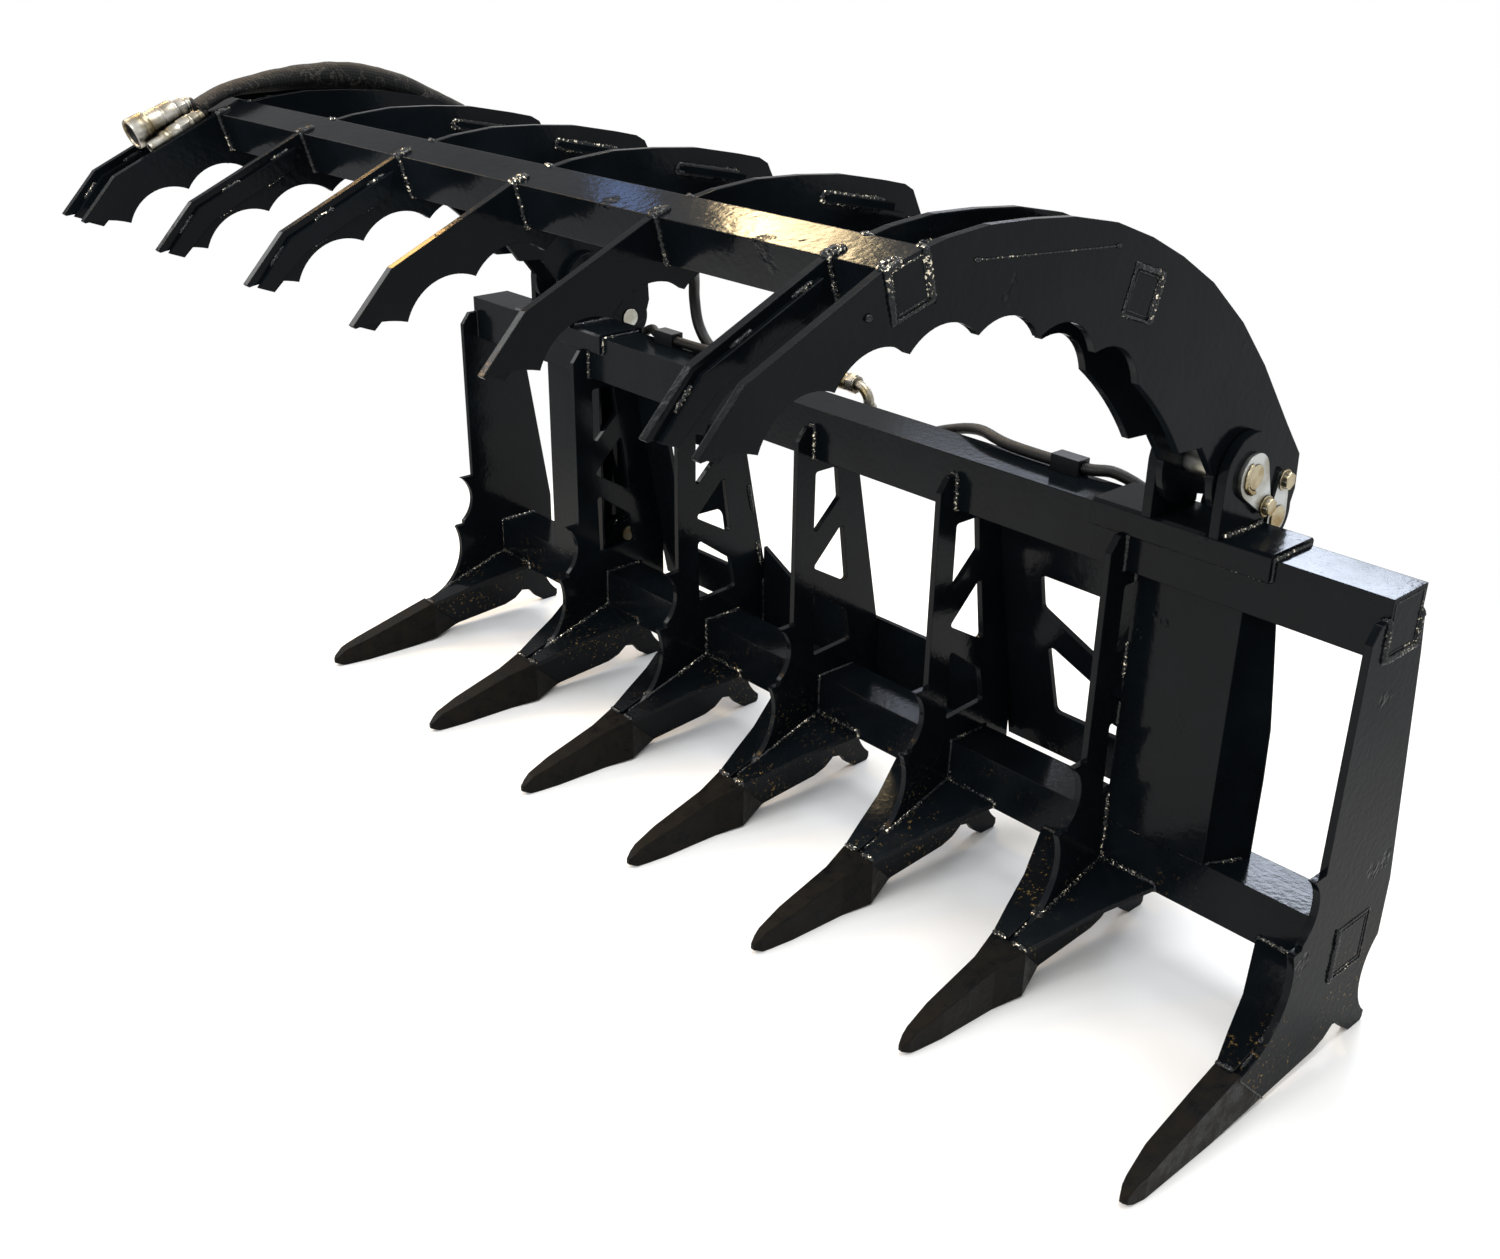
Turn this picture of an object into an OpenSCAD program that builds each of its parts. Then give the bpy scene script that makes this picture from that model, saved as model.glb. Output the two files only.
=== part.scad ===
// Root grapple bucket for a compact loader: seven tines below, an eight-finger jaw above,
// worked by two hydraulic cylinders. Millimetres, Z up, tines point to -Y, X runs across the width.
// The part stands on its tine tips and heels; the origin lies under the heel of the middle tine.

/* [Lower frame] */
// Overall width over the outer tine plates
frame_w = 1830; // [1700:5:2000]
// Thickness of the tine plates and the finger plates
plate_t = 9.5; // [8:0.5:12]
// Distance between the five middle tines
tine_pitch = 281.5; // [270:0.5:290]
// Side of the two square frame tubes
tube_s = 76; // [70:1:80]
// Wall of the square frame tubes
tube_wall = 6.4; // [4:0.1:8]
// Middle of the top tube above the ground
top_tube_z = 613; // [605:1:620]
// Middle of the bottom tube above the ground
low_tube_z = 161; // [158:1:164]
// Width of the thick forged end of a tine
tip_w = 28; // [24:1:34]
// Reach of a flat wing beside a tine, at the bottom tube
wing_w = 90; // [80:1:95]
// Thickness of a wing
wing_t = 8; // [6:0.5:10]

/* [Quick mount] */
// Thickness of the mounting plates and of the band between them
mount_t = 8; // [6:0.5:10]
// Length of a latch slot in the lower lip of a mounting plate
latch_slot_l = 60; // [50:1:70]
// Width of a latch slot
latch_slot_w = 28; // [22:1:32]

/* [Jaw] */
// Middle of an arm from the tine below it
arm_offset = 83.25; // [80:0.25:86]
// Clear gap between the two plates of an arm
arm_gap = 59; // [56:0.5:62]
// Side of the two square tubes of the jaw
jaw_tube_s = 50.8; // [46:0.2:54]
// Wall of the jaw tubes
jaw_wall = 5; // [3:0.5:6]
// Thickness of the doubling strip on each finger
strip_t = 6.4; // [5:0.2:8]
// Radius of the scallops under a finger
scallop_r = 65; // [60:1:72]

/* [Hinge] */
// Height of the jaw pivot
pivot_z = 727; // [724:1:732]
// Diameter of the pivot pins and the rod pins
pin_d = 31.75; // [28:0.25:34]
// Radial running clearance of every pin in its bore
pin_fit = 0.08; // [0.05:0.01:0.1]
// Thickness of a hinge ear
ear_t = 12.7; // [10:0.1:14]
// Radius of a hinge ear round the pivot
ear_r = 53; // [48:1:56]
// Side gap between an ear and the finger beside it
side_gap = 2; // [1:0.5:3]
// Thickness of the saddle plate under the ears
saddle_t = 8; // [6:0.5:10]

/* [Cylinders] */
// Outer diameter of a cylinder barrel
barrel_d = 74; // [66:1:76]
// Diameter of the chromed rod
rod_d = 32; // [28:1:38]
// Width of the rod eye
rod_eye_w = 56; // [50:1:57]
// Diameter of the pin at the foot of a cylinder
foot_pin_d = 25.4; // [22:0.2:28]
// Radial clearance that lets the foot eye wander as the jaw swings
foot_eye_play = 16; // [15:0.5:18]

/* [Hoses] */
// Diameter of the hose that crosses from the jaw to the frame
loop_d = 19; // [16:1:21]
// Diameter of the hoses along the top tube
run_d = 16; // [12:1:17]
// Width of the woven sleeve on the jaw
sleeve_w = 50; // [44:1:54]

/* [Hidden] */
$fn = 48;
half_w = frame_w / 2;
paint = "#22252a";
rubber = "#16171a";
zinc = "#c9bf9c";
chrome = "#d5d8dc";
eps = 0.5;

// Places across the width
tine_x = [-half_w + plate_t / 2, -2 * tine_pitch, -tine_pitch, 0,
    tine_pitch, 2 * tine_pitch, half_w - plate_t / 2];
arm_mid_x = 2 * tine_pitch + arm_offset;
outer_finger_x = arm_mid_x + (arm_gap + plate_t) / 2;
inner_finger_x = arm_mid_x - (arm_gap + plate_t) / 2;
finger_pitch = inner_finger_x / 2.5;
finger_x = [-outer_finger_x, -inner_finger_x, -1.5 * finger_pitch, -0.5 * finger_pitch,
    0.5 * finger_pitch, 1.5 * finger_pitch, inner_finger_x, outer_finger_x];

// Places along the depth; the front face of the tines is at front_y
top_tube_y = -104;
low_tube_y = -74;
front_y = -174;
top_front_y = top_tube_y - tube_s / 2;
top_rear_y = top_tube_y + tube_s / 2;
low_front_y = low_tube_y - tube_s / 2;
// The forged end meets the tine plate along this slanted line
joint_low = [-232, 8];
joint_high = [-296, 70];

// The slanted rear edge of the tine plates, from its lower to its upper point
rear_low = [20, 240];
rear_high = [-47, 560];
rear_tilt = atan((rear_low[0] - rear_high[0]) / (rear_high[1] - rear_low[1]));
function rear_y(z) = rear_low[0] - (z - rear_low[1]) * tan(rear_tilt);

// Jaw points in the plane of a finger, [y, z]
pivot = [top_tube_y, pivot_z];
rod_pin = [pivot[0] + 92, pivot[1] - 77];
foot_pin = [-30, 242];
jaw_tube = [-701, 1033];
jaw_tube_turn = 16;
jaw_rear_tube = [-347, 974];
jaw_rear_turn = -19;
pin_r = pin_d / 2;
bore_r = pin_r + pin_fit;
saddle_top = top_tube_z + tube_s / 2 + saddle_t;

// Points along the hoses
sleeve_path = [[-646, -748, 1055], [-646, -700, 1075.5], [-646, -640, 1084], [-646, -575, 1088],
    [-646, -505, 1085], [-646, -430, 1067], [-646, -370, 1041], [-645, -318, 1018]];
sleeve_half = [9, 9.5, 14, 18, 20, 20, 19, 16];
jaw_hose_path = [[-645, -316.9, 1017.3], [-639, -277, 1005], [-614, -236, 1001], [-566, -176, 955],
    [-505, -115, 890], [-450, -68, 832]];
frame_hose_path = [[-449.4, -67.5, 831.4], [-410, -35, 787], [-428, -12, 752], [-441, 0, 712], [-432, 2, 668],
    [-398, 1, 636], [-340, 0, 622], [-250, 0, 626], [-155, -4, 645], [-88.6, -5, 652]];
run_path = [[24.4, -16, 601], [90, -19, 604], [170, -38, 638], [245, -55, 661], [320, -74, 660.5],
    [440, -74, 660.5], [485, -58, 661], [536, -40, 635], [542, -38, 603.4]];

// Rounds every corner of an outline with radius r, by n steps an arc
function unit(v) = v / norm(v);
function corner(a, b, c, r, n) =
    let (u = unit(a - b), v = unit(c - b), half = acos(max(-1, min(1, u * v))) / 2,
        cut = r / tan(half), mid = b + unit(u + v) * (r / sin(half)),
        p = b + u * cut - mid, q = b + v * cut - mid,
        start = atan2(p[1], p[0]), turn = atan2(q[1], q[0]) - start,
        sweep = turn > 180 ? turn - 360 : turn < -180 ? turn + 360 : turn)
    [for (i = [0:n]) mid + r * [cos(start + sweep * i / n), sin(start + sweep * i / n)]];
function rounded(pts, r, n = 4) =
    [for (i = [0:len(pts) - 1])
        each corner(pts[(i + len(pts) - 1) % len(pts)], pts[i], pts[(i + 1) % len(pts)], r, n)];

// Stands an outline drawn in [y, z] up as a plate whose middle lies at x
module plate_at(x, t = plate_t) {
    translate([x - t / 2, 0, 0]) rotate([90, 0, 90]) linear_extrude(t) children();
}

// The same for something on both arms, given for the right one
module on_side(side) {
    if (side > 0) children();
    else mirror([1, 0, 0]) children();
}

// A bar across the width, cut from an outline in [y, z]
module bar_across(x_from, x_to) {
    translate([x_from, 0, 0]) rotate([90, 0, 90]) linear_extrude(x_to - x_from) children();
}

module tube_outline(s, grow = 0) { square(s + 2 * grow, center = true); }

module hollow_tube(half, centre, s, wall, turn = 0) {
    bar_across(-half, half) translate(centre) rotate(turn) difference() {
        tube_outline(s);
        tube_outline(s - 2 * wall);
    }
}

module top_tube() {
    color(paint) hollow_tube(half_w, [top_tube_y, top_tube_z], tube_s, tube_wall);
}

module bottom_tube() {
    color(paint) hollow_tube(half_w, [low_tube_y, low_tube_z], tube_s, tube_wall);
}

module tube_end_caps() {
    cap_t = 5;
    color(paint) for (side = [-1, 1], c = [[top_tube_y, top_tube_z], [low_tube_y, low_tube_z]])
        on_side(side) bar_across(half_w - cap_t, half_w) translate(c)
            tube_outline(tube_s - 2 * tube_wall);
}

// Outline of a tine plate; the round bites leave the two points on its front edge
module tine_outline(outer) {
    // The outer tines carry no mounting plate, so their rear edge is straighter
    outer_cut = outer ? 14 : 0;
    lug_z = top_tube_z + 11;
    seat_z = top_tube_z - tube_s / 2;
    difference() {
        polygon([
            [top_front_y - 16, lug_z], [front_y, lug_z - 20], [front_y, 307], [-200, 307],
            [-200, 212], [-212, 212], [-212, 80], [joint_high[0], 80], joint_high, joint_low,
            [-116, 16], [-92, 23], [-74, 36], [-56, 32], [-42, 14], [-26, 3], [-22, 0], [8, 0],
            [12, 5], [12, 30], [rear_low[0] - outer_cut, 120], [rear_low[0] - outer_cut, 158],
            [rear_low[0] - outer_cut, rear_low[1] - outer_cut], rear_high,
            [rear_y(lug_z - 14), lug_z - 14], [top_rear_y + 6, lug_z - 7],
            [top_rear_y, lug_z - 7], [top_rear_y, seat_z], [top_front_y, seat_z],
            [top_front_y, lug_z]]);
        // Heel bite behind the foot
        translate([65.5, 80]) circle(r = 84.5, $fn = 96);
        translate([low_tube_y, low_tube_z]) tube_outline(tube_s);
    }
}

module tine_front() {
    difference() {
        union() {
            children();
            translate([joint_high[0], 80]) square([96, 132]);
        }
        translate([-208, 341]) circle(r = 34, $fn = 64);
        translate([-233, 263]) circle(r = 55, $fn = 80);
        translate([-306, 170]) circle(r = 97, $fn = 96);
    }
}

// Cut-outs of a middle tine, from its top to the bottom tube
module lattice_holes() {
    polygon(rounded([[-136, 551], [-89, 551], [-82, 498], [-136, 447]], 5));
    polygon(rounded([[-135, 394], [-73, 456], [-57, 349]], 5));
    polygon(rounded([[-131, 354], [-58, 301], [-46, 246], [-128, 241]], 5));
}

module tine_plate(i) {
    color(paint) plate_at(tine_x[i]) difference() {
        tine_front() tine_outline(i == 0 || i == 6);
        if (i > 0 && i < 6) lattice_holes();
    }
}

// Forged end of a tine, wide where the wings run onto it and rounded at its tip; on the outer
// tines its outer side is level with the plate
module tine_tip(i) {
    half_in = plate_t / 2;
    half_out = tip_w / 2;
    wing_end = half_in + wing_end_w;
    outer = i == 0 ? -1 : i == 6 ? 1 : 0;
    flush = outer == 0 ? half_out : tip_w - half_in;
    right_side = [[half_in, joint_low[1] - 240], [wing_end, joint_high[0]], [flush + 4, -345],
        [flush, -440], [outer == 0 ? 7 : 14, -494], [outer == 0 ? 3 : 9, -504]];
    flat_side = [[half_in, joint_low[1] - 240], [half_in, -472], [0, -500], [-4, -504]];
    left = outer == 1 ? right_side : outer == -1 ? flat_side : right_side;
    right = outer == 1 ? flat_side : right_side;
    color(paint) intersection() {
        plate_at(tine_x[i], 4 * tip_w) polygon([
            joint_low, joint_high, [joint_high[0], wing_z(joint_high[0])], [-446, 41], [-484, 30],
            [-504, 15], [-504, 7], [-490, 1], [-478, 0], [-345, 0]]);
        translate([tine_x[i], 0, -1]) linear_extrude(100)
            polygon(concat(
                [for (k = [0:len(right) - 1]) right[k]],
                [for (k = [len(left) - 1:-1:0]) [-left[k][0], left[k][1]]]));
    }
}

// Top of the wings at a depth y, and how far a wing still stands out at its front end
wing_end_w = 24;
function wing_z(y) = 135 + (y - low_front_y) * (135 - 78) / (low_front_y - joint_high[0]);

// Flat wing on the +X face of a tine plate
module wing(x) {
    slope = atan((135 - 78) / (low_front_y - joint_high[0]));
    x_in = x + plate_t / 2;
    intersection() {
        translate([0, low_front_y, 135]) rotate([slope, 0, 0]) translate([0, 0, -wing_t])
            linear_extrude(wing_t) polygon([
                [x_in, 20], [x_in + wing_w, 20], [x_in + wing_w, -8], [x_in + wing_w * 0.62, -88],
                [x_in + wing_w * 0.43, -146], [x_in + wing_end_w, -192], [x_in + wing_end_w, -220],
                [x_in, -220]]);
        translate([x_in, joint_high[0], 0])
            cube([wing_w + 1, low_front_y - joint_high[0], 200]);
    }
}

module tine_wings() {
    color(paint) for (i = [0:5]) {
        wing(tine_x[i]);
        mirror([1, 0, 0]) wing(tine_x[i]);
    }
}

// Flat band behind the middle tines, with its raised corners beside the mounting plates
module cross_band() {
    edge_x = tine_pitch - plate_t / 2;
    color(paint) translate([0, rear_low[0] + mount_t, 0]) rotate([90, 0, 0]) linear_extrude(mount_t)
        polygon([[-edge_x, 158], [edge_x, 158], [edge_x, 302], [200, 262], [-200, 262], [-edge_x, 302]]);
}

// Quick-mount plate on the slanted rear edges of two tines
module mount_plate(side) {
    x_in = tine_pitch - plate_t / 2;
    x_out = 2 * tine_pitch + plate_t / 2;
    rim = 80;
    low = -84;
    high = 352;
    lip = 42;
    color(paint) on_side(side) translate([0, rear_low[0], rear_low[1]]) rotate([rear_tilt, 0, 0]) {
        translate([0, mount_t, 0]) rotate([90, 0, 0]) linear_extrude(mount_t) difference() {
            polygon([[x_in, low], [x_out, low], [x_out, high], [x_in, high]]);
            polygon(rounded([[x_in + rim, 233], [x_out - rim, 233], [x_out - rim, 104],
                [x_in + rim, 176]], 9));
            polygon(rounded([[x_in + rim + 6, 118], [x_out - rim, 56], [x_out - rim, -4],
                [x_in + rim + 14, -4]], 9));
        }
        // Hook lip along the top
        translate([x_in, mount_t, high]) rotate([-45, 0, 0]) translate([0, 0, -mount_t])
            cube([x_out - x_in, lip, mount_t]);
        // Lower lip with its latch slot
        translate([x_in, mount_t, low]) difference() {
            cube([x_out - x_in, lip, mount_t]);
            translate([(x_out - x_in - latch_slot_l) / 2, 7, -eps])
                cube([latch_slot_l, latch_slot_w, mount_t + 2 * eps]);
        }
    }
}

// Bent sheet guard in front of a cylinder and slanting back beside it
module guard_box(side) {
    face_y = low_front_y - 2;
    x_in = 2 * tine_pitch + plate_t / 2;
    x_bend = arm_mid_x + 75.75;
    sheet = 5;
    z_low = low_tube_z + tube_s / 2;
    z_high = top_tube_z - tube_s / 2;
    turn = 63;
    back = [cos(turn), sin(turn)] * 80;
    inner = x_bend - sheet * (1 - cos(turn)) / sin(turn);
    color(paint) on_side(side) intersection() {
        translate([0, 0, z_low]) linear_extrude(z_high - z_low) polygon([
            [x_in, face_y], [x_bend, face_y], [x_bend, face_y] + back,
            [x_bend, face_y] + back + [-sin(turn), cos(turn)] * sheet,
            [inner, face_y + sheet], [x_in, face_y + sheet]]);
        bar_across(x_in - 1, x_bend + 80) polygon([[face_y - 1, z_low - 1], [face_y - 1, z_high + 1],
            [-73, z_high + 1], [-70, 546], [-61, 466], [-53, 391], [-51, 317], [-51, z_low - 1]]);
    }
}

module hinge_saddle(side) {
    // Ends above the lugs of the tine below
    skirt = 26;
    x_in = arm_mid_x - 132.25;
    x_out = arm_mid_x + 121.75;
    half = tube_s / 2;
    color(paint) on_side(side) bar_across(x_in, x_out) translate([top_tube_y, top_tube_z])
        polygon([
            [-half - saddle_t, half - skirt], [-half, half - skirt], [-half, half], [half, half],
            [half, half - skirt], [half + saddle_t, half - skirt], [half + saddle_t, half + saddle_t - 4],
            [half + saddle_t - 4, half + saddle_t], [-half - saddle_t + 4, half + saddle_t],
            [-half - saddle_t, half + saddle_t - 4]]);
}

module ear_outline() {
    difference() {
        union() {
            translate(pivot) circle(r = ear_r, $fn = 96);
            translate([pivot[0] - ear_r, saddle_top]) square([2 * ear_r - 8, pivot_z - saddle_top]);
        }
        translate(pivot) circle(r = bore_r, $fn = 64);
    }
}

module hinge_ears(side) {
    outer = outer_finger_x + plate_t / 2 + side_gap + ear_t / 2;
    inner = inner_finger_x - plate_t / 2 - side_gap - ear_t / 2;
    color(paint) on_side(side) for (x = [inner, outer]) plate_at(x, ear_t) ear_outline();
}

// Lugs that hold the foot of a cylinder, standing on the bottom tube
module foot_lugs(side) {
    eye_half = rod_eye_w / 2 + 1.5;
    lug_t = 12;
    tube_top = low_tube_z + tube_s / 2;
    color(paint) on_side(side) for (x = [arm_mid_x - eye_half - lug_t / 2, arm_mid_x + eye_half + lug_t / 2])
        plate_at(x, lug_t) difference() {
            union() {
                translate(foot_pin) circle(r = 26, $fn = 64);
                polygon([[low_front_y + 9, tube_top], [low_tube_y + tube_s / 2, tube_top],
                    [foot_pin[0] + 26, foot_pin[1]], [foot_pin[0] - 20, foot_pin[1] + 17]]);
            }
            translate(foot_pin) circle(r = foot_pin_d / 2 + pin_fit, $fn = 64);
        }
}

// Cusps under a finger, from the tip to the rear
function cusps(rise) = [[-877, 912 + rise], [-789, 949 + rise], [-696, 969 + rise / 2], [-603, 973],
    [-511, 956], [-418, 925], [-336, 877]];
short_rise = 8;
arm_rise = 4;

// Middle of the circle of radius r whose arc between a and b bulges to the left of a to b
function bite_mid(a, b, r) =
    let (m = (a + b) / 2, d = b - a, h = sqrt(max(1, r * r - d * d / 4)), n = [d[1], -d[0]] / norm(d))
    m + n * h;

// Outer edge shared by all fingers, from the tip to the hump
finger_back = [[-934, 923], [-939, 922], [-942, 925], [-891, 979], [-736, 1050], [-697, 1060], [-654, 1068], [-596, 1073],
    [-533, 1071], [-471, 1066], [-403, 1053]];

module scallops(count, at) {
    for (i = [0:count - 1]) translate(bite_mid(at[i], at[i + 1], scallop_r))
        circle(r = scallop_r, $fn = 96);
    translate(bite_mid([-936, 923], at[0], 2 * scallop_r)) circle(r = 2 * scallop_r, $fn = 128);
}

module tube_holes() {
    translate(jaw_tube) rotate(jaw_tube_turn) tube_outline(jaw_tube_s);
    translate(jaw_rear_tube) rotate(jaw_rear_turn) tube_outline(jaw_tube_s);
}

// Short middle finger, cut off over the rear tube
module short_finger_outline() {
    difference() {
        polygon(concat(finger_back, [[-372, 1046], [-358, 1038], [-340, 1004], [-334, 997]],
            [[-400, 940]], [for (i = [5:-1:0]) cusps(short_rise)[i]]));
        scallops(5, cusps(short_rise));
        tube_holes();
    }
}

// Long finger that carries the pivot and the rod pin
module arm_outline() {
    difference() {
        union() {
            polygon(concat(finger_back, [[-340, 1031], [-281, 1004], [-217, 968], [-145, 913],
                [-85, 854], [-12, 769], [30, 722], [33, 676], [rod_pin[0] + 34, rod_pin[1] - 8],
                [rod_pin[0], rod_pin[1] - 20], [pivot[0] + 56, pivot[1] - 60],
                [pivot[0] + 8, pivot[1] - 46], [pivot[0] - 48, pivot[1] - 4], [-195, 777], [-242, 780],
                [-338, 872], [-418, 920], [-511, 950], [-603, 967], [-696, 964], [-789, 946]],
                [cusps(arm_rise)[0]]));
            translate(pivot) circle(r = 58, $fn = 96);
            translate(rod_pin) circle(r = 40, $fn = 80);
        }
        scallops(6, cusps(arm_rise));
        translate(bite_mid(cusps(arm_rise)[6], [-240, 780], 420)) circle(r = 420, $fn = 256);
        tube_holes();
        translate(pivot) circle(r = bore_r, $fn = 64);
        translate(rod_pin) circle(r = bore_r, $fn = 64);
    }
}

module finger(i) {
    color(paint) plate_at(finger_x[i]) {
        if (i < 2 || i > 5) arm_outline();
        else short_finger_outline();
    }
}

module jaw_tube() {
    color(paint) hollow_tube(outer_finger_x + plate_t / 2, jaw_tube, jaw_tube_s, jaw_wall,
        jaw_tube_turn);
}

module jaw_rear_tube() {
    color(paint) hollow_tube(outer_finger_x + plate_t / 2, jaw_rear_tube, jaw_tube_s, jaw_wall,
        jaw_rear_turn);
}

module jaw_end_caps() {
    cap_t = 5;
    half = outer_finger_x + plate_t / 2;
    color(paint) for (side = [-1, 1]) on_side(side) bar_across(half - cap_t, half) {
        translate(jaw_tube) rotate(jaw_tube_turn) tube_outline(jaw_tube_s - 2 * jaw_wall);
        translate(jaw_rear_tube) rotate(jaw_rear_turn) tube_outline(jaw_tube_s - 2 * jaw_wall);
    }
}

// Flat stiffener between the two plates of each arm
module jaw_stiffeners() {
    color(paint) for (side = [-1, 1]) on_side(side)
        bar_across(inner_finger_x + plate_t / 2, outer_finger_x - plate_t / 2)
            polygon([[-617, 1039], [-403, 1025], [-403, 1034.5], [-617, 1048.5]]);
}

// Strip welded along the outer edge of each finger, on the face turned to its partner
module strip_outline() {
    polygon([[-930, 921], [-884, 972], [-745, 1035], [-751, 1008], [-868, 954], [-912, 914]]);
}

module finger_strips() {
    faces = [1, -1, 1, 1, -1, -1, 1, -1];
    color(paint) for (i = [0:7])
        plate_at(finger_x[i] + faces[i] * (plate_t + strip_t) / 2, strip_t) strip_outline();
}

// Small gussets beside the middle fingers, over the rear tube
module finger_gussets() {
    gusset_w = 34;
    color(paint) for (i = [2:5]) let (x = finger_x[i] + plate_t / 2)
        translate([x, -504, 1041]) rotate([-10.8, 0, 0])
            linear_extrude(plate_t) polygon([[0, 0], [0, 96], [gusset_w, 96], [gusset_w, 80]]);
}

// Pin across the right arm, from x_from to x_to
module pin_across(side, at, r, x_from, x_to) {
    on_side(side) bar_across(x_from, x_to) translate(at) circle(r = r, $fn = 64);
}

module pivot_pin(side) {
    inner = inner_finger_x - plate_t / 2 - side_gap - ear_t;
    outer = outer_finger_x + plate_t / 2 + side_gap + ear_t;
    color(zinc) pin_across(side, pivot, pin_r, inner - 4, outer);
}

// Teardrop plate and bolt that keep a pin from turning
module flag(x, at, bolt_at, r_big, r_small) {
    flag_t = 6;
    bar_across(x, x + flag_t) hull() {
        translate(at) circle(r = r_big, $fn = 64);
        translate(bolt_at) circle(r = r_small, $fn = 48);
    }
    bar_across(x + flag_t, x + flag_t + 8) translate(bolt_at) circle(r = 10.5, $fn = 6);
}

module pivot_flags() {
    face = outer_finger_x + plate_t / 2 + side_gap + ear_t;
    color(zinc) for (side = [-1, 1]) on_side(side)
        flag(face, pivot, pivot + [34, -44], 29, 11);
}

module rod_pin(side) {
    color(zinc) pin_across(side, rod_pin, pin_r, inner_finger_x - plate_t / 2 - 3,
        outer_finger_x + plate_t / 2);
}

module rod_flags() {
    face = outer_finger_x + plate_t / 2;
    color(zinc) for (side = [-1, 1]) on_side(side)
        flag(face, rod_pin, rod_pin + [5, 48], 21, 11);
}

module foot_pins() {
    reach = rod_eye_w / 2 + 1.5 + 12 + 5;
    color(zinc) for (side = [-1, 1])
        pin_across(side, foot_pin, foot_pin_d / 2, arm_mid_x - reach, arm_mid_x + reach);
}

// Places a cylinder part drawn along Z, with the rod pin at the origin and the foot below it
cyl_dir = rod_pin - foot_pin;
cyl_len = norm(cyl_dir);
cyl_tilt = atan2(-cyl_dir[0], cyl_dir[1]);
module along_cylinder(side) {
    on_side(side) translate([arm_mid_x, rod_pin[0], rod_pin[1]]) rotate([cyl_tilt, 0, 0]) children();
}

gland_top = -78;
barrel_low = -cyl_len + foot_pin_d / 2 + foot_eye_play + 8;

module cylinder_rod(side) {
    eye_r = 28;
    color(chrome) along_cylinder(side) difference() {
        union() {
            rotate([0, 90, 0]) cylinder(r = eye_r, h = rod_eye_w, center = true, $fn = 80);
            translate([0, 0, -330]) cylinder(d = rod_d, h = 330 - eye_r + 4, $fn = 64);
            // Piston inside the barrel
            translate([0, 0, -330]) cylinder(d = barrel_d - 13, h = 30, $fn = 64);
        }
        rotate([0, 90, 0]) cylinder(r = bore_r, h = rod_eye_w + 2, center = true, $fn = 64);
    }
}

module cylinder_barrel(side) {
    bore_in = barrel_d - 12.6;
    gland_h = 34;
    foot_r = foot_pin_d / 2 + foot_eye_play;
    color(paint) along_cylinder(side) {
        difference() {
            union() {
                translate([0, 0, barrel_low]) cylinder(d = barrel_d, h = gland_top - barrel_low, $fn = 80);
                translate([0, 0, -cyl_len]) rotate([0, 90, 0])
                    cylinder(r = foot_r + 9, h = rod_eye_w, center = true, $fn = 80);
            }
            translate([0, 0, -cyl_len]) rotate([0, 90, 0])
                cylinder(r = foot_r, h = rod_eye_w + 2, center = true, $fn = 80);
            translate([0, 0, -345]) cylinder(d = bore_in, h = 345 + gland_top - gland_h, $fn = 64);
            translate([0, 0, -345]) cylinder(d = rod_d + 0.2, h = 345, $fn = 64);
        }
        // Hose ports
        for (z = [gland_top - 26, -334]) translate([0, barrel_d / 2 - 1.5, z]) rotate([-90, 0, 0])
            cylinder(d = 26, h = 14, $fn = 32);
    }
}

// A round or oval tube swept along points, with rings halfway between them too
function spline(a, b, c, d, t) =
    0.5 * (2 * b + (c - a) * t + (2 * a - 5 * b + 4 * c - d) * t * t
    + (3 * b - a - 3 * c + d) * t * t * t);
function smooth(p) = let (n = len(p) - 1) [for (i = [0:n - 1]) for (t = [0, 0.5])
    spline(p[max(0, i - 1)], p[i], p[i + 1], p[min(n, i + 2)], t), p[n]];
module swept(pts, across, up, ref, sides = 10) {
    p = smooth(pts);
    n = len(p);
    h = len(up) > 1 ? smooth([for (v = up) [v, 0, 0]]) : [for (i = [0:n - 1]) [up[0], 0, 0]];
    rings = [for (i = [0:n - 1])
        let (d = unit(p[min(n - 1, i + 1)] - p[max(0, i - 1)]), v = unit(cross(d, ref)), w = cross(v, d))
        each [for (k = [0:sides - 1]) let (a = 360 * (k + 0.5) / sides)
            p[i] + w * (across * cos(a)) + v * (h[i][0] * sin(a))]];
    polyhedron(rings, concat(
        [[for (k = [0:sides - 1]) k]],
        [for (i = [0:n - 2]) for (k = [0:sides - 1]) let (a = i * sides, b = a + sides, m = (k + 1) % sides)
            each [[a + k, b + k, b + m], [a + k, b + m, a + m]]],
        [[for (k = [sides - 1:-1:0]) (n - 1) * sides + k]]));
}

module hose_sleeve() {
    color(rubber) swept(sleeve_path, sleeve_w / 2, sleeve_half, [1, 0, 0], 12);
}

module jaw_hose() {
    color(rubber) swept(jaw_hose_path, loop_d / 2, [loop_d / 2], [0, 0, 1]);
}

module frame_hose() {
    color(rubber) swept(frame_hose_path, loop_d / 2, [loop_d / 2], [0, 1, 0]);
}

module tube_hoses() {
    color(rubber) for (side = [-1, 1]) on_side(side) swept(run_path, run_d / 2, [run_d / 2], [0, 1, 0], 8);
}

// A stepped coupler drawn along its axis, from a point at its back to one at its face
module coupler(back, face, steps) {
    d = face - back;
    translate(back) rotate([0, acos(d[2] / norm(d)), atan2(d[1], d[0])])
        rotate_extrude($fn = 48) polygon(concat([[0, 0]], steps, [[0, steps[len(steps) - 1][1]]]));
}

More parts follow.
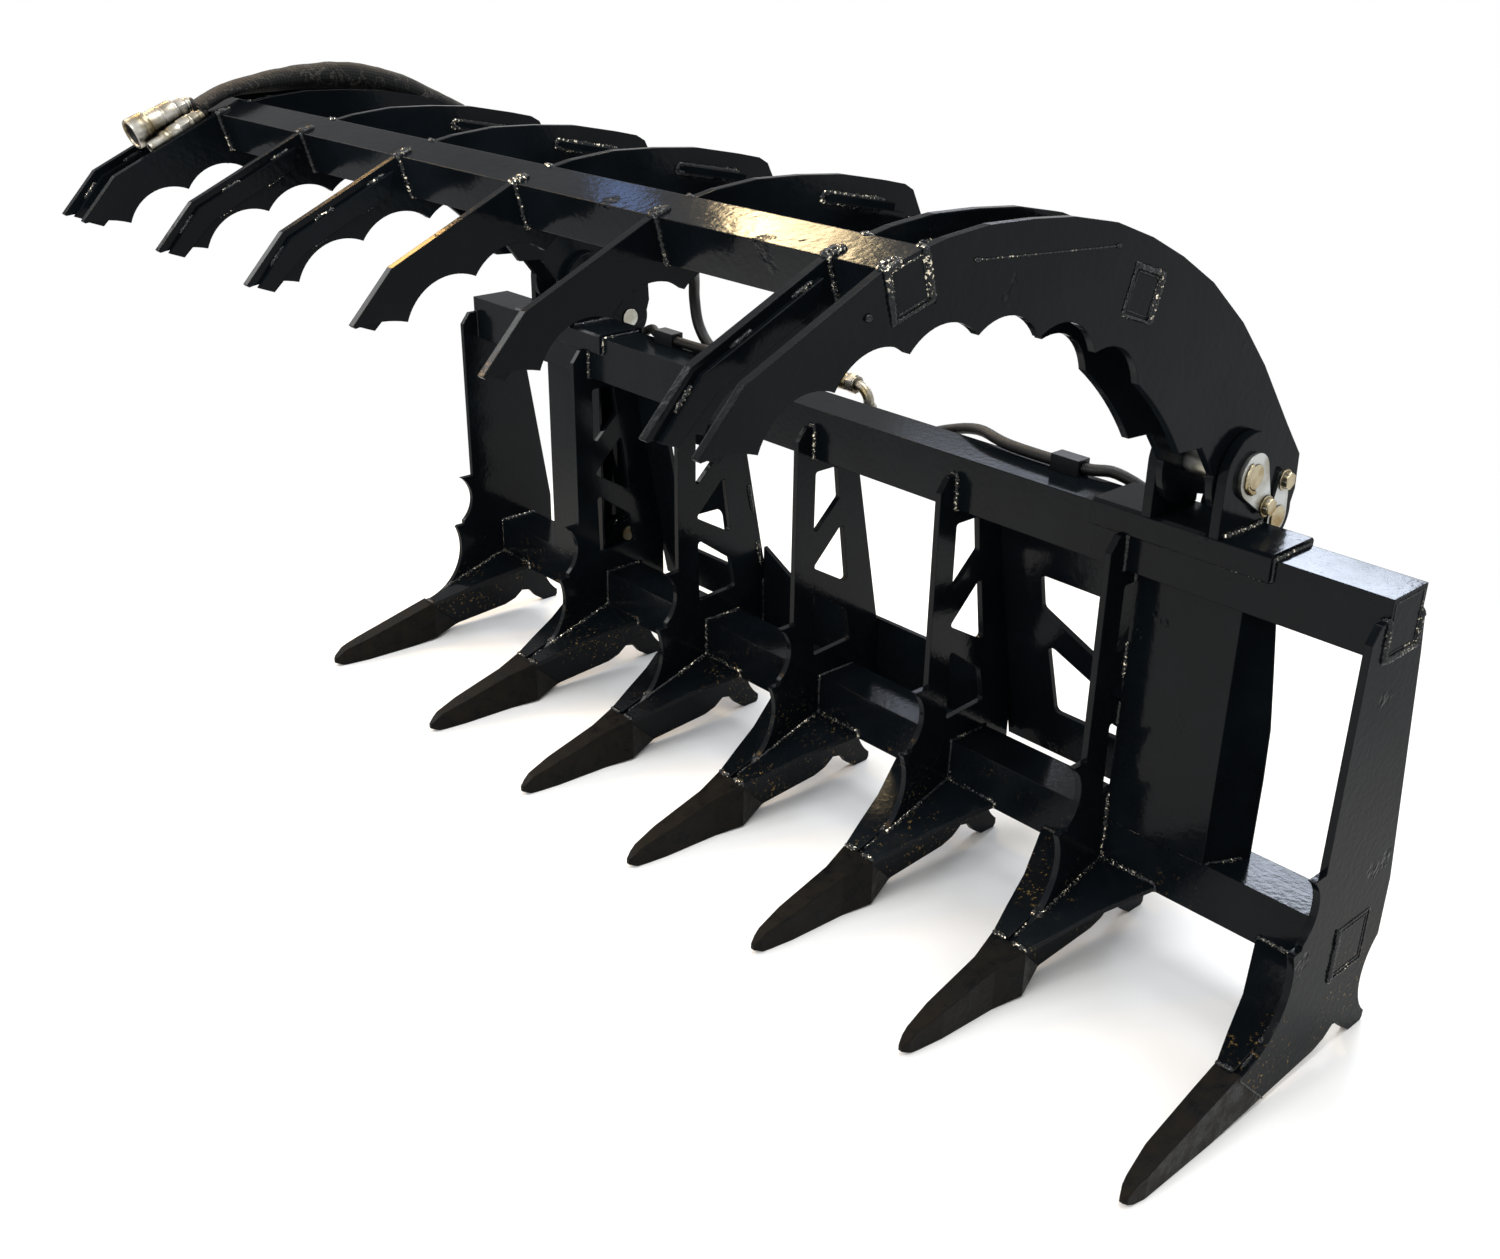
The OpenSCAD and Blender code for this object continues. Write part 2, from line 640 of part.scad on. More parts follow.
// Two quick couplers in front of the sleeve
module hose_couplers() {
    color(zinc) {
        coupler([-657, -751.1, 1060], [-657, -840, 1025], [[8, 0], [8, 6], [15, 6], [15, 24], [18.5, 24],
            [18.5, 68], [21.5, 72], [21.5, 96], [16, 96], [16, 88]]);
        coupler([-629.5, -746, 1047], [-629.5, -828, 1008], [[8, 0], [8, 8], [12, 8], [12, 66],
            [9.5, 70], [9.5, 90]]);
    }
}

// Tee behind the top tube, the elbow into it, the end fittings of the runs and their clamps
module hose_fittings() {
    rear = top_tube_y + tube_s / 2;
    top = top_tube_z + tube_s / 2;
    play = 2;
    color(zinc) {
        translate([-24, rear, 588]) cube([16, 74, 28]);
        translate([8, rear, 588]) cube([16, 62, 26]);
        translate([-24, -48, 588]) cube([48, 44, 20]);
        // Elbow fittings at the far ends of the runs
        for (side = [-1, 1]) on_side(side)
            translate([2 * tine_pitch - plate_t / 2 - 26, rear, 588]) cube([26, 38, 15]);
        // Elbow
        translate([-42, -5, 652]) rotate([0, -90, 0]) cylinder(d = 26, h = 46, $fn = 32);
        translate([-42, -5, 626]) rotate([90, 0, 0]) rotate_extrude(angle = 90, $fn = 64)
            translate([26, 0]) circle(d = 17, $fn = 32);
        translate([-16, -5, 615]) cylinder(d = 17, h = 11, $fn = 32);
    }
    color(zinc) for (side = [-1, 1]) on_side(side) difference() {
        translate([397, rear - 21, top]) cube([46, 24, 22]);
        translate([390, -75, 660.5]) rotate([0, 90, 0]) cylinder(d = run_d + 2 * play, h = 60, $fn = 32);
    }
}

top_tube();
bottom_tube();
tube_end_caps();
tine_plate(0);  // tine_plate_1
tine_plate(1);  // tine_plate_2
tine_plate(2);  // tine_plate_3
tine_plate(3);  // tine_plate_4
tine_plate(4);  // tine_plate_5
tine_plate(5);  // tine_plate_6
tine_plate(6);  // tine_plate_7
tine_tip(0);  // tine_tip_1
tine_tip(1);  // tine_tip_2
tine_tip(2);  // tine_tip_3
tine_tip(3);  // tine_tip_4
tine_tip(4);  // tine_tip_5
tine_tip(5);  // tine_tip_6
tine_tip(6);  // tine_tip_7
tine_wings();
cross_band();
mount_plate(-1);  // mount_plate_left
mount_plate(1);  // mount_plate_right
guard_box(-1);  // guard_box_left
guard_box(1);  // guard_box_right
hinge_saddle(-1);  // hinge_saddle_left
hinge_saddle(1);  // hinge_saddle_right
hinge_ears(-1);  // hinge_ears_left
hinge_ears(1);  // hinge_ears_right
foot_lugs(-1);  // foot_lugs_left
foot_lugs(1);  // foot_lugs_right
finger(0);  // finger_1
finger(1);  // finger_2
finger(2);  // finger_3
finger(3);  // finger_4
finger(4);  // finger_5
finger(5);  // finger_6
finger(6);  // finger_7
finger(7);  // finger_8
jaw_tube();
jaw_rear_tube();
jaw_end_caps();
jaw_stiffeners();
finger_strips();
finger_gussets();
pivot_pin(-1);  // pivot_pin_left
pivot_pin(1);  // pivot_pin_right
pivot_flags();
rod_pin(-1);  // rod_pin_left
rod_pin(1);  // rod_pin_right
rod_flags();
foot_pins();
cylinder_rod(-1);  // cylinder_rod_left
cylinder_rod(1);  // cylinder_rod_right
cylinder_barrel(-1);  // cylinder_barrel_left
cylinder_barrel(1);  // cylinder_barrel_right
hose_sleeve();
hose_couplers();
jaw_hose();
frame_hose();
tube_hoses();
hose_fittings();
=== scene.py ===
# %% [markdown]
# # A root grapple bucket in gloss black
# The real object is a welded steel attachment for a small loader: seven tines below, a jaw of
# eight fingers above, and a pair of cylinders that close it. The steelwork comes from the packed
# model as it is. This lesson gives it its camera, its hoses, its paint and plating, the weld beads
# along its joints and the small hardware that a loader mechanic would look for.

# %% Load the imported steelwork
import math

import bmesh
import bpy
from mathutils import Matrix, Vector, noise
from mathutils.bvhtree import BVHTree


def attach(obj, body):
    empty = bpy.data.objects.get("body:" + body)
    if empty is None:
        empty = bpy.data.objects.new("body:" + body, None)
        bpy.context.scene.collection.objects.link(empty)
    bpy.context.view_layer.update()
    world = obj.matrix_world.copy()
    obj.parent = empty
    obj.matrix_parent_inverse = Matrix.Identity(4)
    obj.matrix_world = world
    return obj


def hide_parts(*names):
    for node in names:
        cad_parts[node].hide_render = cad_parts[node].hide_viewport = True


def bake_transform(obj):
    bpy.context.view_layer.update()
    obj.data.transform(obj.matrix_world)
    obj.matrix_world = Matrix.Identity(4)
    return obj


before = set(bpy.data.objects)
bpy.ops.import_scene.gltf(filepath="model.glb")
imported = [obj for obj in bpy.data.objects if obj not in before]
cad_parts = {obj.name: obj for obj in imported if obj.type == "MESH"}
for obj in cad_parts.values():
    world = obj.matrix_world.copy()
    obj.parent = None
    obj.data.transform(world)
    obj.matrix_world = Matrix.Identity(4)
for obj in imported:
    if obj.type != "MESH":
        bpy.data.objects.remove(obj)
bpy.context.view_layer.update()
noise.seed_set(3)  # without a seed, noise vectors start from the clock and differ from run to run

# %% [markdown]
# ## The camera
# The photograph looks down on the grapple's right front corner. The camera was solved from the
# even spacing of the tines and fingers, so its place, its two angles, its slight roll and its lens
# are numbers here. Blender's camera looks along its own -Z, so the elevation turns it about X, the
# azimuth about Z, and the roll about its own line of sight.

# %% Place the camera
photo_camera = bpy.data.cameras.new("photo_camera")
photo_camera.lens = 37.7705
photo_camera.sensor_width = 36.0
camera_object = bpy.data.objects.new("photo_camera", photo_camera)
bpy.context.scene.collection.objects.link(camera_object)
camera_place = (1.60741, -1.71982, 1.33958)
azimuth, elevation, roll = (math.radians(v) for v in (47.78105, 25.04479, 0.81875))
turn = (Matrix.Rotation(azimuth, 4, "Z") @ Matrix.Rotation(math.pi / 2 - elevation, 4, "X")
        @ Matrix.Rotation(roll, 4, "Z"))
camera_object.matrix_world = Matrix.Translation(camera_place) @ turn
bpy.context.scene.camera = camera_object
print("camera at", [round(v, 3) for v in camera_place])

# %% [markdown]
# ## Lines for the hoses
# Oil comes in through two quick couplers on the jaw, under a woven sleeve, and crosses to the frame
# in one loose loop that lets the jaw swing. A pair of short runs then follows the top tube to the
# cylinders. Each hose follows a few chosen points, and a Catmull-Rom line through them gives it the
# even bends of a real hose, which can't take a corner. Millimetres are easier to read here, so the
# points are in millimetres and the function turns them into metres.

# %% A smooth line through chosen points
def smooth_line(points, parts=6):
    line, last = [], len(points) - 1
    for i in range(last):
        a, b, c, d = (Vector(points[max(0, min(last, i + k))]) for k in (-1, 0, 1, 2))
        for step in range(parts):
            t = step / parts
            line.append(0.5 * (2 * b + (c - a) * t + (2 * a - 5 * b + 4 * c - d) * t ** 2
                               + (3 * b - a - 3 * c + d) * t ** 3))
    return [p / 1000 for p in line + [Vector(points[-1])]]


def long(line):
    return sum((b - a).length for a, b in zip(line, line[1:]))


# %% [markdown]
# A hose is a tube: rings of points round the line, joined and closed at both ends. Noise can pull
# the points of a ring inwards, which gives cloth its creases.

# %% Ring of points
fold_scale, wrinkle_scale = 26, 70  # folds about 38 mm and wrinkles about 14 mm long


def ring_round(shell, middle, across, side, half_wide, half_high, sides, crease):
    ring = []
    for k in range(sides):
        angle = 2 * math.pi * k / sides
        out = side * (half_wide * math.cos(angle)) + across * (half_high * math.sin(angle))
        place = middle + out
        fold = noise.noise(place * fold_scale) + 0.5 * noise.noise(place * wrinkle_scale)
        ring.append(shell.verts.new(middle + out * (1 - crease * abs(fold))))
    return ring


# %% [markdown]
# Each ring keeps the direction of the one before it, turned only as far as the line turns, so the
# tube never twists. A UV map keeps the way round and the way along in metres, which the rubber and
# the weave need later, because their pattern runs along the hose and not along the room's axes.

# %% Tube along a line
def hose(name, line, half_wide, half_high, sideways, sides=20, crease=0.0):
    shell = bmesh.new()
    lay = shell.loops.layers.uv.new("lay")
    rings, ways, across, last = [], [0.0], None, len(line) - 1
    highs = half_high if isinstance(half_high, list) else [half_high] * len(line)
    for i, middle in enumerate(line):
        along = (line[min(i + 1, last)] - line[max(i - 1, 0)]).normalized()
        start = along.cross(Vector(sideways)) if across is None else across
        across = (start - along * start.dot(along)).normalized()
        rings.append(ring_round(shell, middle, across, across.cross(along), half_wide, highs[i],
                                sides, crease))
        ways.append(ways[-1] + (line[min(i + 1, last)] - middle).length)
    girth = math.pi * (half_wide + highs[last // 2])
    for i in range(last):
        for k in range(sides):
            n = (k + 1) % sides
            face = shell.faces.new((rings[i][k], rings[i + 1][k], rings[i + 1][n], rings[i][n]))
            face.smooth = True
            for corner, u, v in zip(face.loops, (k, k, k + 1, k + 1), (i, i + 1, i + 1, i)):
                corner[lay].uv = (u / sides * girth, ways[v])
    shell.faces.new(rings[0])
    shell.faces.new(rings[-1][::-1])
    bmesh.ops.recalc_face_normals(shell, faces=shell.faces)
    mesh = bpy.data.meshes.new(name)
    shell.to_mesh(mesh)
    shell.free()
    tube = bpy.data.objects.new(name, mesh)
    bpy.context.scene.collection.objects.link(tube)
    return tube


# %% [markdown]
# ## The hose loop from the frame to the jaw
# It leaves a ferrule behind the top tube, sags along it, climbs past the uprights and goes into the
# sleeve on the jaw.

# %% Hose loop
loop_line = smooth_line([
    (-88.6, -5, 652), (-155, -4, 645), (-250, 0, 626), (-340, 0, 622), (-398, 1, 636), (-432, 2, 668),
    (-441, 0, 712), (-428, -12, 752), (-410, -35, 787), (-450, -68, 832), (-505, -115, 890),
    (-566, -176, 955), (-614, -236, 1001), (-639, -277, 1005), (-645, -316.9, 1017.3)])
loop_radius = 0.0095
hose_loop = hose("hose_loop", loop_line, loop_radius, loop_radius, (0, 1, 0))
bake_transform(hose_loop)
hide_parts("frame_hose", "jaw_hose")
print("hose loop", round(long(loop_line), 3), "m")

# %% [markdown]
# ## The woven sleeve on the jaw
# Two hoses lie side by side under a flat nylon sleeve that rests on the arm, so it is a wide, low
# tube, thin at the couplers and full in the middle. Real webbing creases where it bends: a little
# noise pulls the rings in by about a tenth.

# %% Sleeve
sleeve_points = [(-646, -748, 1055), (-646, -700, 1075.5), (-646, -640, 1084), (-646, -575, 1088),
                 (-646, -505, 1085), (-646, -430, 1067), (-646, -370, 1041), (-645, -318, 1018)]
sleeve_high = [9, 9.5, 14, 18, 20, 20, 19, 16]
sleeve_half_wide, sleeve_parts, sleeve_sides = 0.025, 8, 36
sleeve_line = smooth_line(sleeve_points, sleeve_parts)
high_line = [h.x for h in smooth_line([(h, 0, 0) for h in sleeve_high], sleeve_parts)]
sleeve = hose("hose_sleeve_cover", sleeve_line, sleeve_half_wide, high_line, (1, 0, 0),
              sleeve_sides, crease=0.10)
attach(sleeve, "jaw")
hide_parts("hose_sleeve")
print("sleeve", round(long(sleeve_line), 3), "m")

# %% [markdown]
# ## The two runs along the top tube
# A tee behind the middle of the top tube sends one hose left and one right. Each rises over the
# tube's rear edge, passes under a clamp and drops to the elbow that feeds its cylinder. The left one
# is the right one seen in a mirror.

# %% Runs to the cylinders
run_points = [(24.4, -16, 601), (90, -19, 604), (170, -38, 638), (245, -55, 661), (320, -74, 660.5),
              (440, -74, 660.5), (485, -58, 661), (536, -40, 635), (542, -38, 603.4)]
run_radius, run_parts, run_sides = 0.008, 5, 16
runs = {}
for side, word in ((1, "right"), (-1, "left")):
    run_line = smooth_line([(side * x, y, z) for x, y, z in run_points], run_parts)
    runs[word] = hose("cylinder_hose_" + word, run_line, run_radius, run_radius, (0, 1, 0), run_sides)
    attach(runs[word], "frame")
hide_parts("tube_hoses")
print("runs", round(long(run_line), 3), "m each")

# %% [markdown]
# ## Small pieces made as by hand
# Couplers, fittings and bolts are lathe and press work. A turned piece starts as the outline of
# half its section and is spun round its axis. A nut or bolt head starts as a six-sided cylinder
# whose end face is inset and raised to leave the bearing face. Each is made upright at the origin,
# and its mesh is then laid along the line from its back to its face, so that the object itself
# stays at the origin.

# %% Pick, lay and round off a piece
def pick(*pieces):
    if bpy.context.object and bpy.context.object.mode != "OBJECT":
        bpy.ops.object.mode_set(mode="OBJECT")
    bpy.ops.object.select_all(action="DESELECT")
    for piece in pieces:
        piece.select_set(True)
    bpy.context.view_layer.objects.active = pieces[0]


def lay_along(piece, back, face):
    back, face = Vector(back) / 1000, Vector(face) / 1000
    piece.data.transform(Matrix.Translation(back)
                         @ (face - back).to_track_quat("Z", "Y").to_matrix().to_4x4())
    piece.data.update()
    return piece


def soften(piece, width, angle=35):
    pick(piece)
    round_off = piece.modifiers.new("round_off", "BEVEL")
    round_off.width, round_off.segments = width / 1000, 2
    round_off.limit_method, round_off.angle_limit = "ANGLE", math.radians(angle)
    bpy.ops.object.modifier_apply(modifier="round_off")
    bpy.ops.object.shade_smooth_by_angle(angle=math.radians(40))
    return piece


# %% Turn a piece from its section
def turned(name, section, back, face, sides=40):
    outline = bpy.data.meshes.new(name)
    outline.from_pydata([(r / 1000, 0, z / 1000) for r, z in section],
                        [(i, i + 1) for i in range(len(section) - 1)], [])
    piece = bpy.data.objects.new(name, outline)
    bpy.context.scene.collection.objects.link(piece)
    pick(piece)
    bpy.ops.object.mode_set(mode="EDIT")
    bpy.ops.mesh.select_all(action="SELECT")
    bpy.ops.mesh.spin(steps=sides, angle=2 * math.pi, center=(0, 0, 0), axis=(0, 0, 1))
    bpy.ops.mesh.select_all(action="SELECT")
    bpy.ops.mesh.remove_doubles(threshold=0.00002)
    bpy.ops.mesh.normals_make_consistent(inside=False)
    bpy.ops.object.mode_set(mode="OBJECT")
    return lay_along(soften(piece, 0.35), back, face)


# %% [markdown]
# A nut is named by the width across its flats. Its corner radius is that width divided by the root
# of three, and by 1000 for metres, so 1732 does both. The bearing face is inset by a ninth of the
# width and raised by a twenty-second of the height.

# %% Press a nut or a bolt head
def hexagon(name, across, high, back, face):
    corner_radius, bearing_edge, bearing_rise = across / 1732, across / 9000, high / 22000
    bpy.ops.object.select_all(action="DESELECT")
    bpy.ops.mesh.primitive_cylinder_add(vertices=6, radius=corner_radius, depth=high / 1000,
                                        location=(0, 0, 0))
    piece = bpy.context.object
    piece.name = name
    bpy.ops.object.mode_set(mode="EDIT")
    bpy.ops.mesh.select_all(action="SELECT")
    bpy.ops.transform.translate(value=(0, 0, high / 2000))
    bpy.ops.mesh.select_all(action="DESELECT")
    bpy.ops.object.mode_set(mode="OBJECT")
    for face_at in piece.data.polygons:
        face_at.select = face_at.center.z > high / 1000 - 1e-5
    bpy.ops.object.mode_set(mode="EDIT")
    bpy.ops.mesh.inset(thickness=bearing_edge, depth=bearing_rise)
    bpy.ops.object.mode_set(mode="OBJECT")
    return lay_along(soften(piece, 0.6, 25), back, face)


# %% Join pieces, and find places on an axis
def fuse(name, pieces):
    pick(*pieces)
    bpy.ops.object.join()
    pieces[0].name = pieces[0].data.name = name
    return pieces[0]


def between(back, face, start, end):
    back, face = Vector(back), Vector(face)
    along = (face - back).normalized()
    return back + along * start, back + along * end


# %% [markdown]
# ## The two quick couplers
# The larger is the socket: a long body, a collar that slides back to release it and a deep mouth.
# The smaller is the plug, which ends in a round nose. Each screws onto a hose end with a six-sided
# nut, and a crimped ferrule holds the hose. Grooves at the ferrule and the collar are what the eye
# looks for on such parts, so they are in the section itself. A section is a list of radii and
# heights in millimetres, from the back of the coupler to its face.

# %% Socket
socket_axis = (-657, -751.1, 1060), (-657, -840, 1025)
socket_ferrule = [(0, 0), (11.2, 0), (11.2, 2), (10.2, 2.6), (11.2, 3.4), (11.2, 6), (10.2, 6.8),
                  (11.2, 7.6), (11.2, 9), (0, 9)]
socket_section = [(0, 22), (15.6, 22), (16.2, 25), (18.5, 26.5), (18.5, 44), (17.5, 45), (17.5, 48),
                  (18.5, 49), (18.5, 67), (19.6, 68), (21.5, 71), (21.5, 77), (20.6, 78),
                  (21.5, 79), (21.5, 94), (20.4, 95.6), (17.6, 95.6), (16.4, 94), (15.4, 84),
                  (9, 83), (9, 87), (5, 87.6), (0, 88)]
socket = fuse("coupler_socket", [
    turned("socket_body", socket_ferrule, *between(*socket_axis, 0, 90)),
    hexagon("socket_nut", 25, 13, *between(*socket_axis, 9, 90)),
    turned("socket_shell", socket_section, *socket_axis, 56)])

# %% Plug
plug_axis = (-629.5, -746, 1047), (-629.5, -828, 1008)
plug_ferrule = [(0, 0), (9.6, 0), (9.6, 2), (8.8, 2.8), (9.6, 3.6), (9.6, 7.5), (0, 7.5)]
plug_section = [(0, 19), (12.6, 19), (13, 21), (12.2, 24.5), (11, 25), (11, 38), (12.2, 40),
                (12.2, 55), (11, 57), (11, 60), (12, 62), (12, 66), (9.5, 70), (9.5, 86),
                (8, 90), (5.4, 90), (5.4, 84), (0, 84)]
plug = fuse("coupler_plug", [
    turned("plug_ferrule", plug_ferrule, *between(*plug_axis, 0, 90)),
    hexagon("plug_nut", 21, 12, *between(*plug_axis, 7.5, 90)),
    hexagon("plug_flats", 23.4, 15, *between(*plug_axis, 24, 90)),
    turned("plug_shell", plug_section, *plug_axis, 48)])
for piece in (socket, plug):
    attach(piece, "jaw")
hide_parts("hose_couplers")
print("couplers:", len(socket.data.polygons) + len(plug.data.polygons), "faces")

# %% [markdown]
# The mouth of the socket looks black from outside: a rubber seal lines its wall and lies round the
# poppet at its bottom. This dark lining is partly a real seal and partly painted shade for the inside
# of the mouth. It is one thin turned piece, whose section closes on itself.

# %% Seal and painted shade in the socket's mouth
# painted shade: the dark rubber cup covers the whole mouth wall, where the real inside is shade
seal_and_shade_section = [(4.5, 83.9), (15.2, 83.9), (16.1, 93), (14.9, 93), (13.9, 85.2),
                (9.4, 85.2), (9.4, 88), (4.5, 88), (4.5, 83.9)]
seal_and_mouth_shade = turned("seal_and_mouth_shade", seal_and_shade_section, *socket_axis)
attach(seal_and_mouth_shade, "jaw")
print("seal:", len(seal_and_mouth_shade.data.polygons), "faces")

# %% [markdown]
# Where the two hoses leave the sleeve, a rubber tie holds each one. The ties follow the hoses down
# towards the couplers, so they are turned and laid like the rest.

# %% Ties round the ends of the hoses
tie_wall, tie_high, tie_slope = 1.6, 7, Vector((0, -90, -36))
ties = []
for place, radius in (((-655, -744, 1058), 12.4), ((-632, -741, 1051), 11.2)):
    tie_section = [(radius - tie_wall, 0), (radius, 0.4), (radius, 6.6), (radius - tie_wall, tie_high),
                   (radius - tie_wall, 0)]
    ties.append(turned("tie", tie_section, place, Vector(place) + tie_slope, 32))
sleeve_ties = fuse("sleeve_ties", ties)
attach(sleeve_ties, "jaw")
print("ties:", len(ties))

# %% [markdown]
# ## Fittings behind the top tube
# The loop's lower end is crimped into a ferrule, which screws into the elbow with a nut, and the
# elbow stands in the tee with another. Each run starts at the tee in the same way. They are turned
# and pressed like the couplers.

# %% Nuts and ferrules of the elbow and the tee
loop_ferrule = [(0, 0), (13.4, 0), (13.6, 3), (12.9, 5), (13.6, 7), (13.6, 12), (12.9, 14),
                (13.6, 16), (13.6, 27), (13, 29), (0, 29)]
run_ferrule = [(0, 0), (9.4, 0), (9.4, 3), (8.7, 4), (9.4, 5), (9.4, 22), (0, 22)]
elbow_parts = [
    turned("loop_ferrule", loop_ferrule, (-89, -5, 652), (-59, -5, 652)),
    hexagon("loop_nut", 27.5, 14, (-59, -5, 652), (-40, -5, 652)),
    hexagon("elbow_nut", 22, 11, (-16, -5, 627), (-16, -5, 600))]
for side in (-1, 1):
    tee_mouth = (side * 24, -16, 600.8)
    elbow_parts.append(turned("run_ferrule", run_ferrule, (side * 46, -16.2, 601), tee_mouth))
    elbow_parts.append(hexagon("run_nut", 19, 7, (side * 31, -16, 600.8), tee_mouth))
loop_fittings = fuse("loop_fittings", elbow_parts)
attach(loop_fittings, "frame")
print("fittings:", len(loop_fittings.data.polygons), "faces")

# %% [markdown]
# ## Bolts and washers of the pin flags
# Each pin is kept from turning by a flat flag, and the flag by one bolt. The steelwork has the bolt
# as a plain six-sided block, so a softened head with its round bearing face goes over it, on a thin
# washer. The pin itself is welded into its flag: its end shows as a round face, a little proud. The
# flags at the pivot lie outside the hinge ears, and those at the rod pins lie on the arm plates.

# %% Where the flags are
arm_x, arm_plate_off, arm_half_thick = 646.25, 34.25, 4.75
ear_gap, ear_thick, flag_thick = 2, 12.7, 6
pivot_y, pivot_z = -104, 727
rod_y, rod_z = -12, 650
flag_face = {"frame": arm_x + arm_plate_off + arm_half_thick + ear_gap + ear_thick,
             "jaw": arm_x + arm_plate_off + arm_half_thick}
pin_at = {"frame": (pivot_y, pivot_z), "jaw": (rod_y, rod_z)}
bolt_at = {"frame": (pivot_y + 34, pivot_z - 44), "jaw": (rod_y + 5, rod_z + 48)}
print("flag faces at x", flag_face)

# %% Flag bolts
washer_section = [(7, 0), (13.5, 0), (13.5, 2), (7, 2.2), (7, 0)]
pin_section = [(0, 0), (15.6, 0), (15.6, 1.6), (14.6, 2.4), (0, 2.4)]
outwards = 30
flag_hardware = {"frame": [], "jaw": []}
for side in (-1, 1):
    for body in ("frame", "jaw"):
        x = flag_face[body] + flag_thick
        y, z = bolt_at[body]
        far = (side * (x + outwards), y, z)
        flag_hardware[body] += [
            turned("washer", washer_section, (side * x, y, z), far, 36),
            hexagon("bolt_head", 19.6, 8.4, (side * (x + 0.4), y, z), far)]
        y, z = pin_at[body]
        flag_hardware[body].append(turned("pin_end", pin_section, (side * (x - 0.2), y, z),
                                          (side * (x + outwards), y, z), 48))
for body, pieces in flag_hardware.items():
    bolts = fuse("flag_bolts_" + body, pieces)
    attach(bolts, body)
print("bolts, washers and pin ends:", sum(len(pieces) for pieces in flag_hardware.values()))

# %% [markdown]
# ## Weld beads
# Every joint of this frame is an arc weld: a rounded bar of metal with a ripple for each step of
# the torch, 5 to 6 mm apart. Beads could be drawn by hand, one curve for each joint, but a joint is
# easy to recognise: it is where a sharp edge of one piece rests on another piece. So the script
# walks along the sharp edges of a piece in small steps, keeps the stretches that touch its
# neighbours, and lays a bead on each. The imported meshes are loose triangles, so a copy of each is
# merged first.

# %% Find where an edge of one piece rests on another
sharp_edge, walk_step, touch_gap, same_point = 0.4, 0.004, 0.0006, 0.0004
surfaces = {}


def merged(part):
    copy = bmesh.new()
    copy.from_mesh(part.data)
    bmesh.ops.remove_doubles(copy, verts=copy.verts, dist=1e-5)
    bmesh.ops.dissolve_limit(copy, angle_limit=0.002, verts=copy.verts, edges=copy.edges)
    return copy


def touches(p, name):
    if name not in surfaces:
        surfaces[name] = BVHTree.FromBMesh(merged(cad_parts[name]))
    return surfaces[name].find_nearest(p, touch_gap)[0] is not None


def joints(part_name, base_names, keep=lambda p: True):
    part = merged(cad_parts[part_name])
    runs = []
    for edge in part.edges:
        if len(edge.link_faces) != 2 or edge.calc_face_angle(0) < sharp_edge:
            continue
        a, b = (v.co.copy() for v in edge.verts)
        steps, run = max(1, round((b - a).length / walk_step)), []
        for k in range(steps + 1):
            p = a.lerp(b, k / steps)
            on = keep(p) and any(touches(p, name) for name in base_names)
            if on:
                run.append(p)
            if len(run) > 1 and (k == steps or not on):
                runs.append(run)
            if not on:
                run = []
    part.free()
    return chained(runs)


# %% [markdown]
# A joint often turns a corner, where one edge ends and the next begins. A welder doesn't stop
# there, so runs that meet end to end become one line.

# %% Join runs that meet end to end
def chained(runs):
    lines = []
    while runs:
        line, grew = runs.pop(), True
        while grew:
            grew = False
            for other in runs:
                for way_round in (other, other[::-1]):
                    if (way_round[0] - line[-1]).length < same_point:
                        line, grew = line + way_round[1:], True
                    elif (way_round[-1] - line[0]).length < same_point:
                        line, grew = way_round[:-1] + line, True
                    if grew:
                        runs.remove(other)
                        break
                if grew:
                    break
        lines.append(line)
    return lines


# %% [markdown]
# The bead itself is a curve with a round section. The radius of the section swells and shrinks
# from point to point, two points for each ripple, and its line wanders a little, because a welder's
# hand does. A stitch weld is the same bead broken into short lengths, given here as the length of
# a stitch and of the gap after it. All beads of a body are one curve object, which is turned into
# a mesh at the end.

# %% Lay a bead
bead_base, half_ripple, shortest_bead = 0.005, 0.003, 0.007
crest, trough, bead_tail = 1.08, 0.86, 0.45
swell_scale, wander_scale, unevenness = 160, 70, 0.16


def point_on(line, way):
    for a, b in zip(line, line[1:]):
        step = (b - a).length
        if way <= step:
            return a.lerp(b, way / max(step, 1e-9))
        way -= step
    return line[-1].copy()


def lay_bead(welds, line, size, stitch=None):
    total, laid = long(line), 0.0
    on, off = stitch or (total, 0.0)
    start = off / 2
    while start < total - shortest_bead:
        end = min(total, start + on)
        steps = max(3, round((end - start) / half_ripple))
        spline = welds.data.splines.new("POLY")
        spline.points.add(steps)
        for i, point in enumerate(spline.points):
            p = point_on(line, start + (end - start) * i / steps)
            wander = noise.noise_vector(p * wander_scale) * (unevenness * size)
            point.co = (*(p + wander), 1)
            swell = (trough if i % 2 else crest) + unevenness * noise.noise(p * swell_scale)
            point.radius = size / bead_base * swell * (bead_tail if i in (0, steps) else 1)
        laid += end - start
        start = end + off
    return laid


# %% [markdown]
# Most welds are then one line each: the piece, what it rests on, and the bead's radius. On the
# outer faces of the outermost plates the beads are much thinner, so a weld can name the distance
# from the middle past which it is thin, and its radius there.

# %% Weld one piece to others
def weld(welds, part_name, base_names, size, keep=lambda p: True, stitch=None, thin=None):
    laid = 0.0
    for line in joints(part_name, base_names, keep):
        outside = thin and abs(line[len(line) // 2].x) > thin[0]
        laid += lay_bead(welds, line, thin[1] if outside else size, stitch)
    return laid


def bead_curve(name):
    curve = bpy.data.curves.new(name, "CURVE")
    curve.dimensions = "3D"
    curve.bevel_depth, curve.bevel_resolution, curve.use_fill_caps = bead_base, 2, True
    welds = bpy.data.objects.new(name, curve)
    bpy.context.scene.collection.objects.link(welds)
    return welds


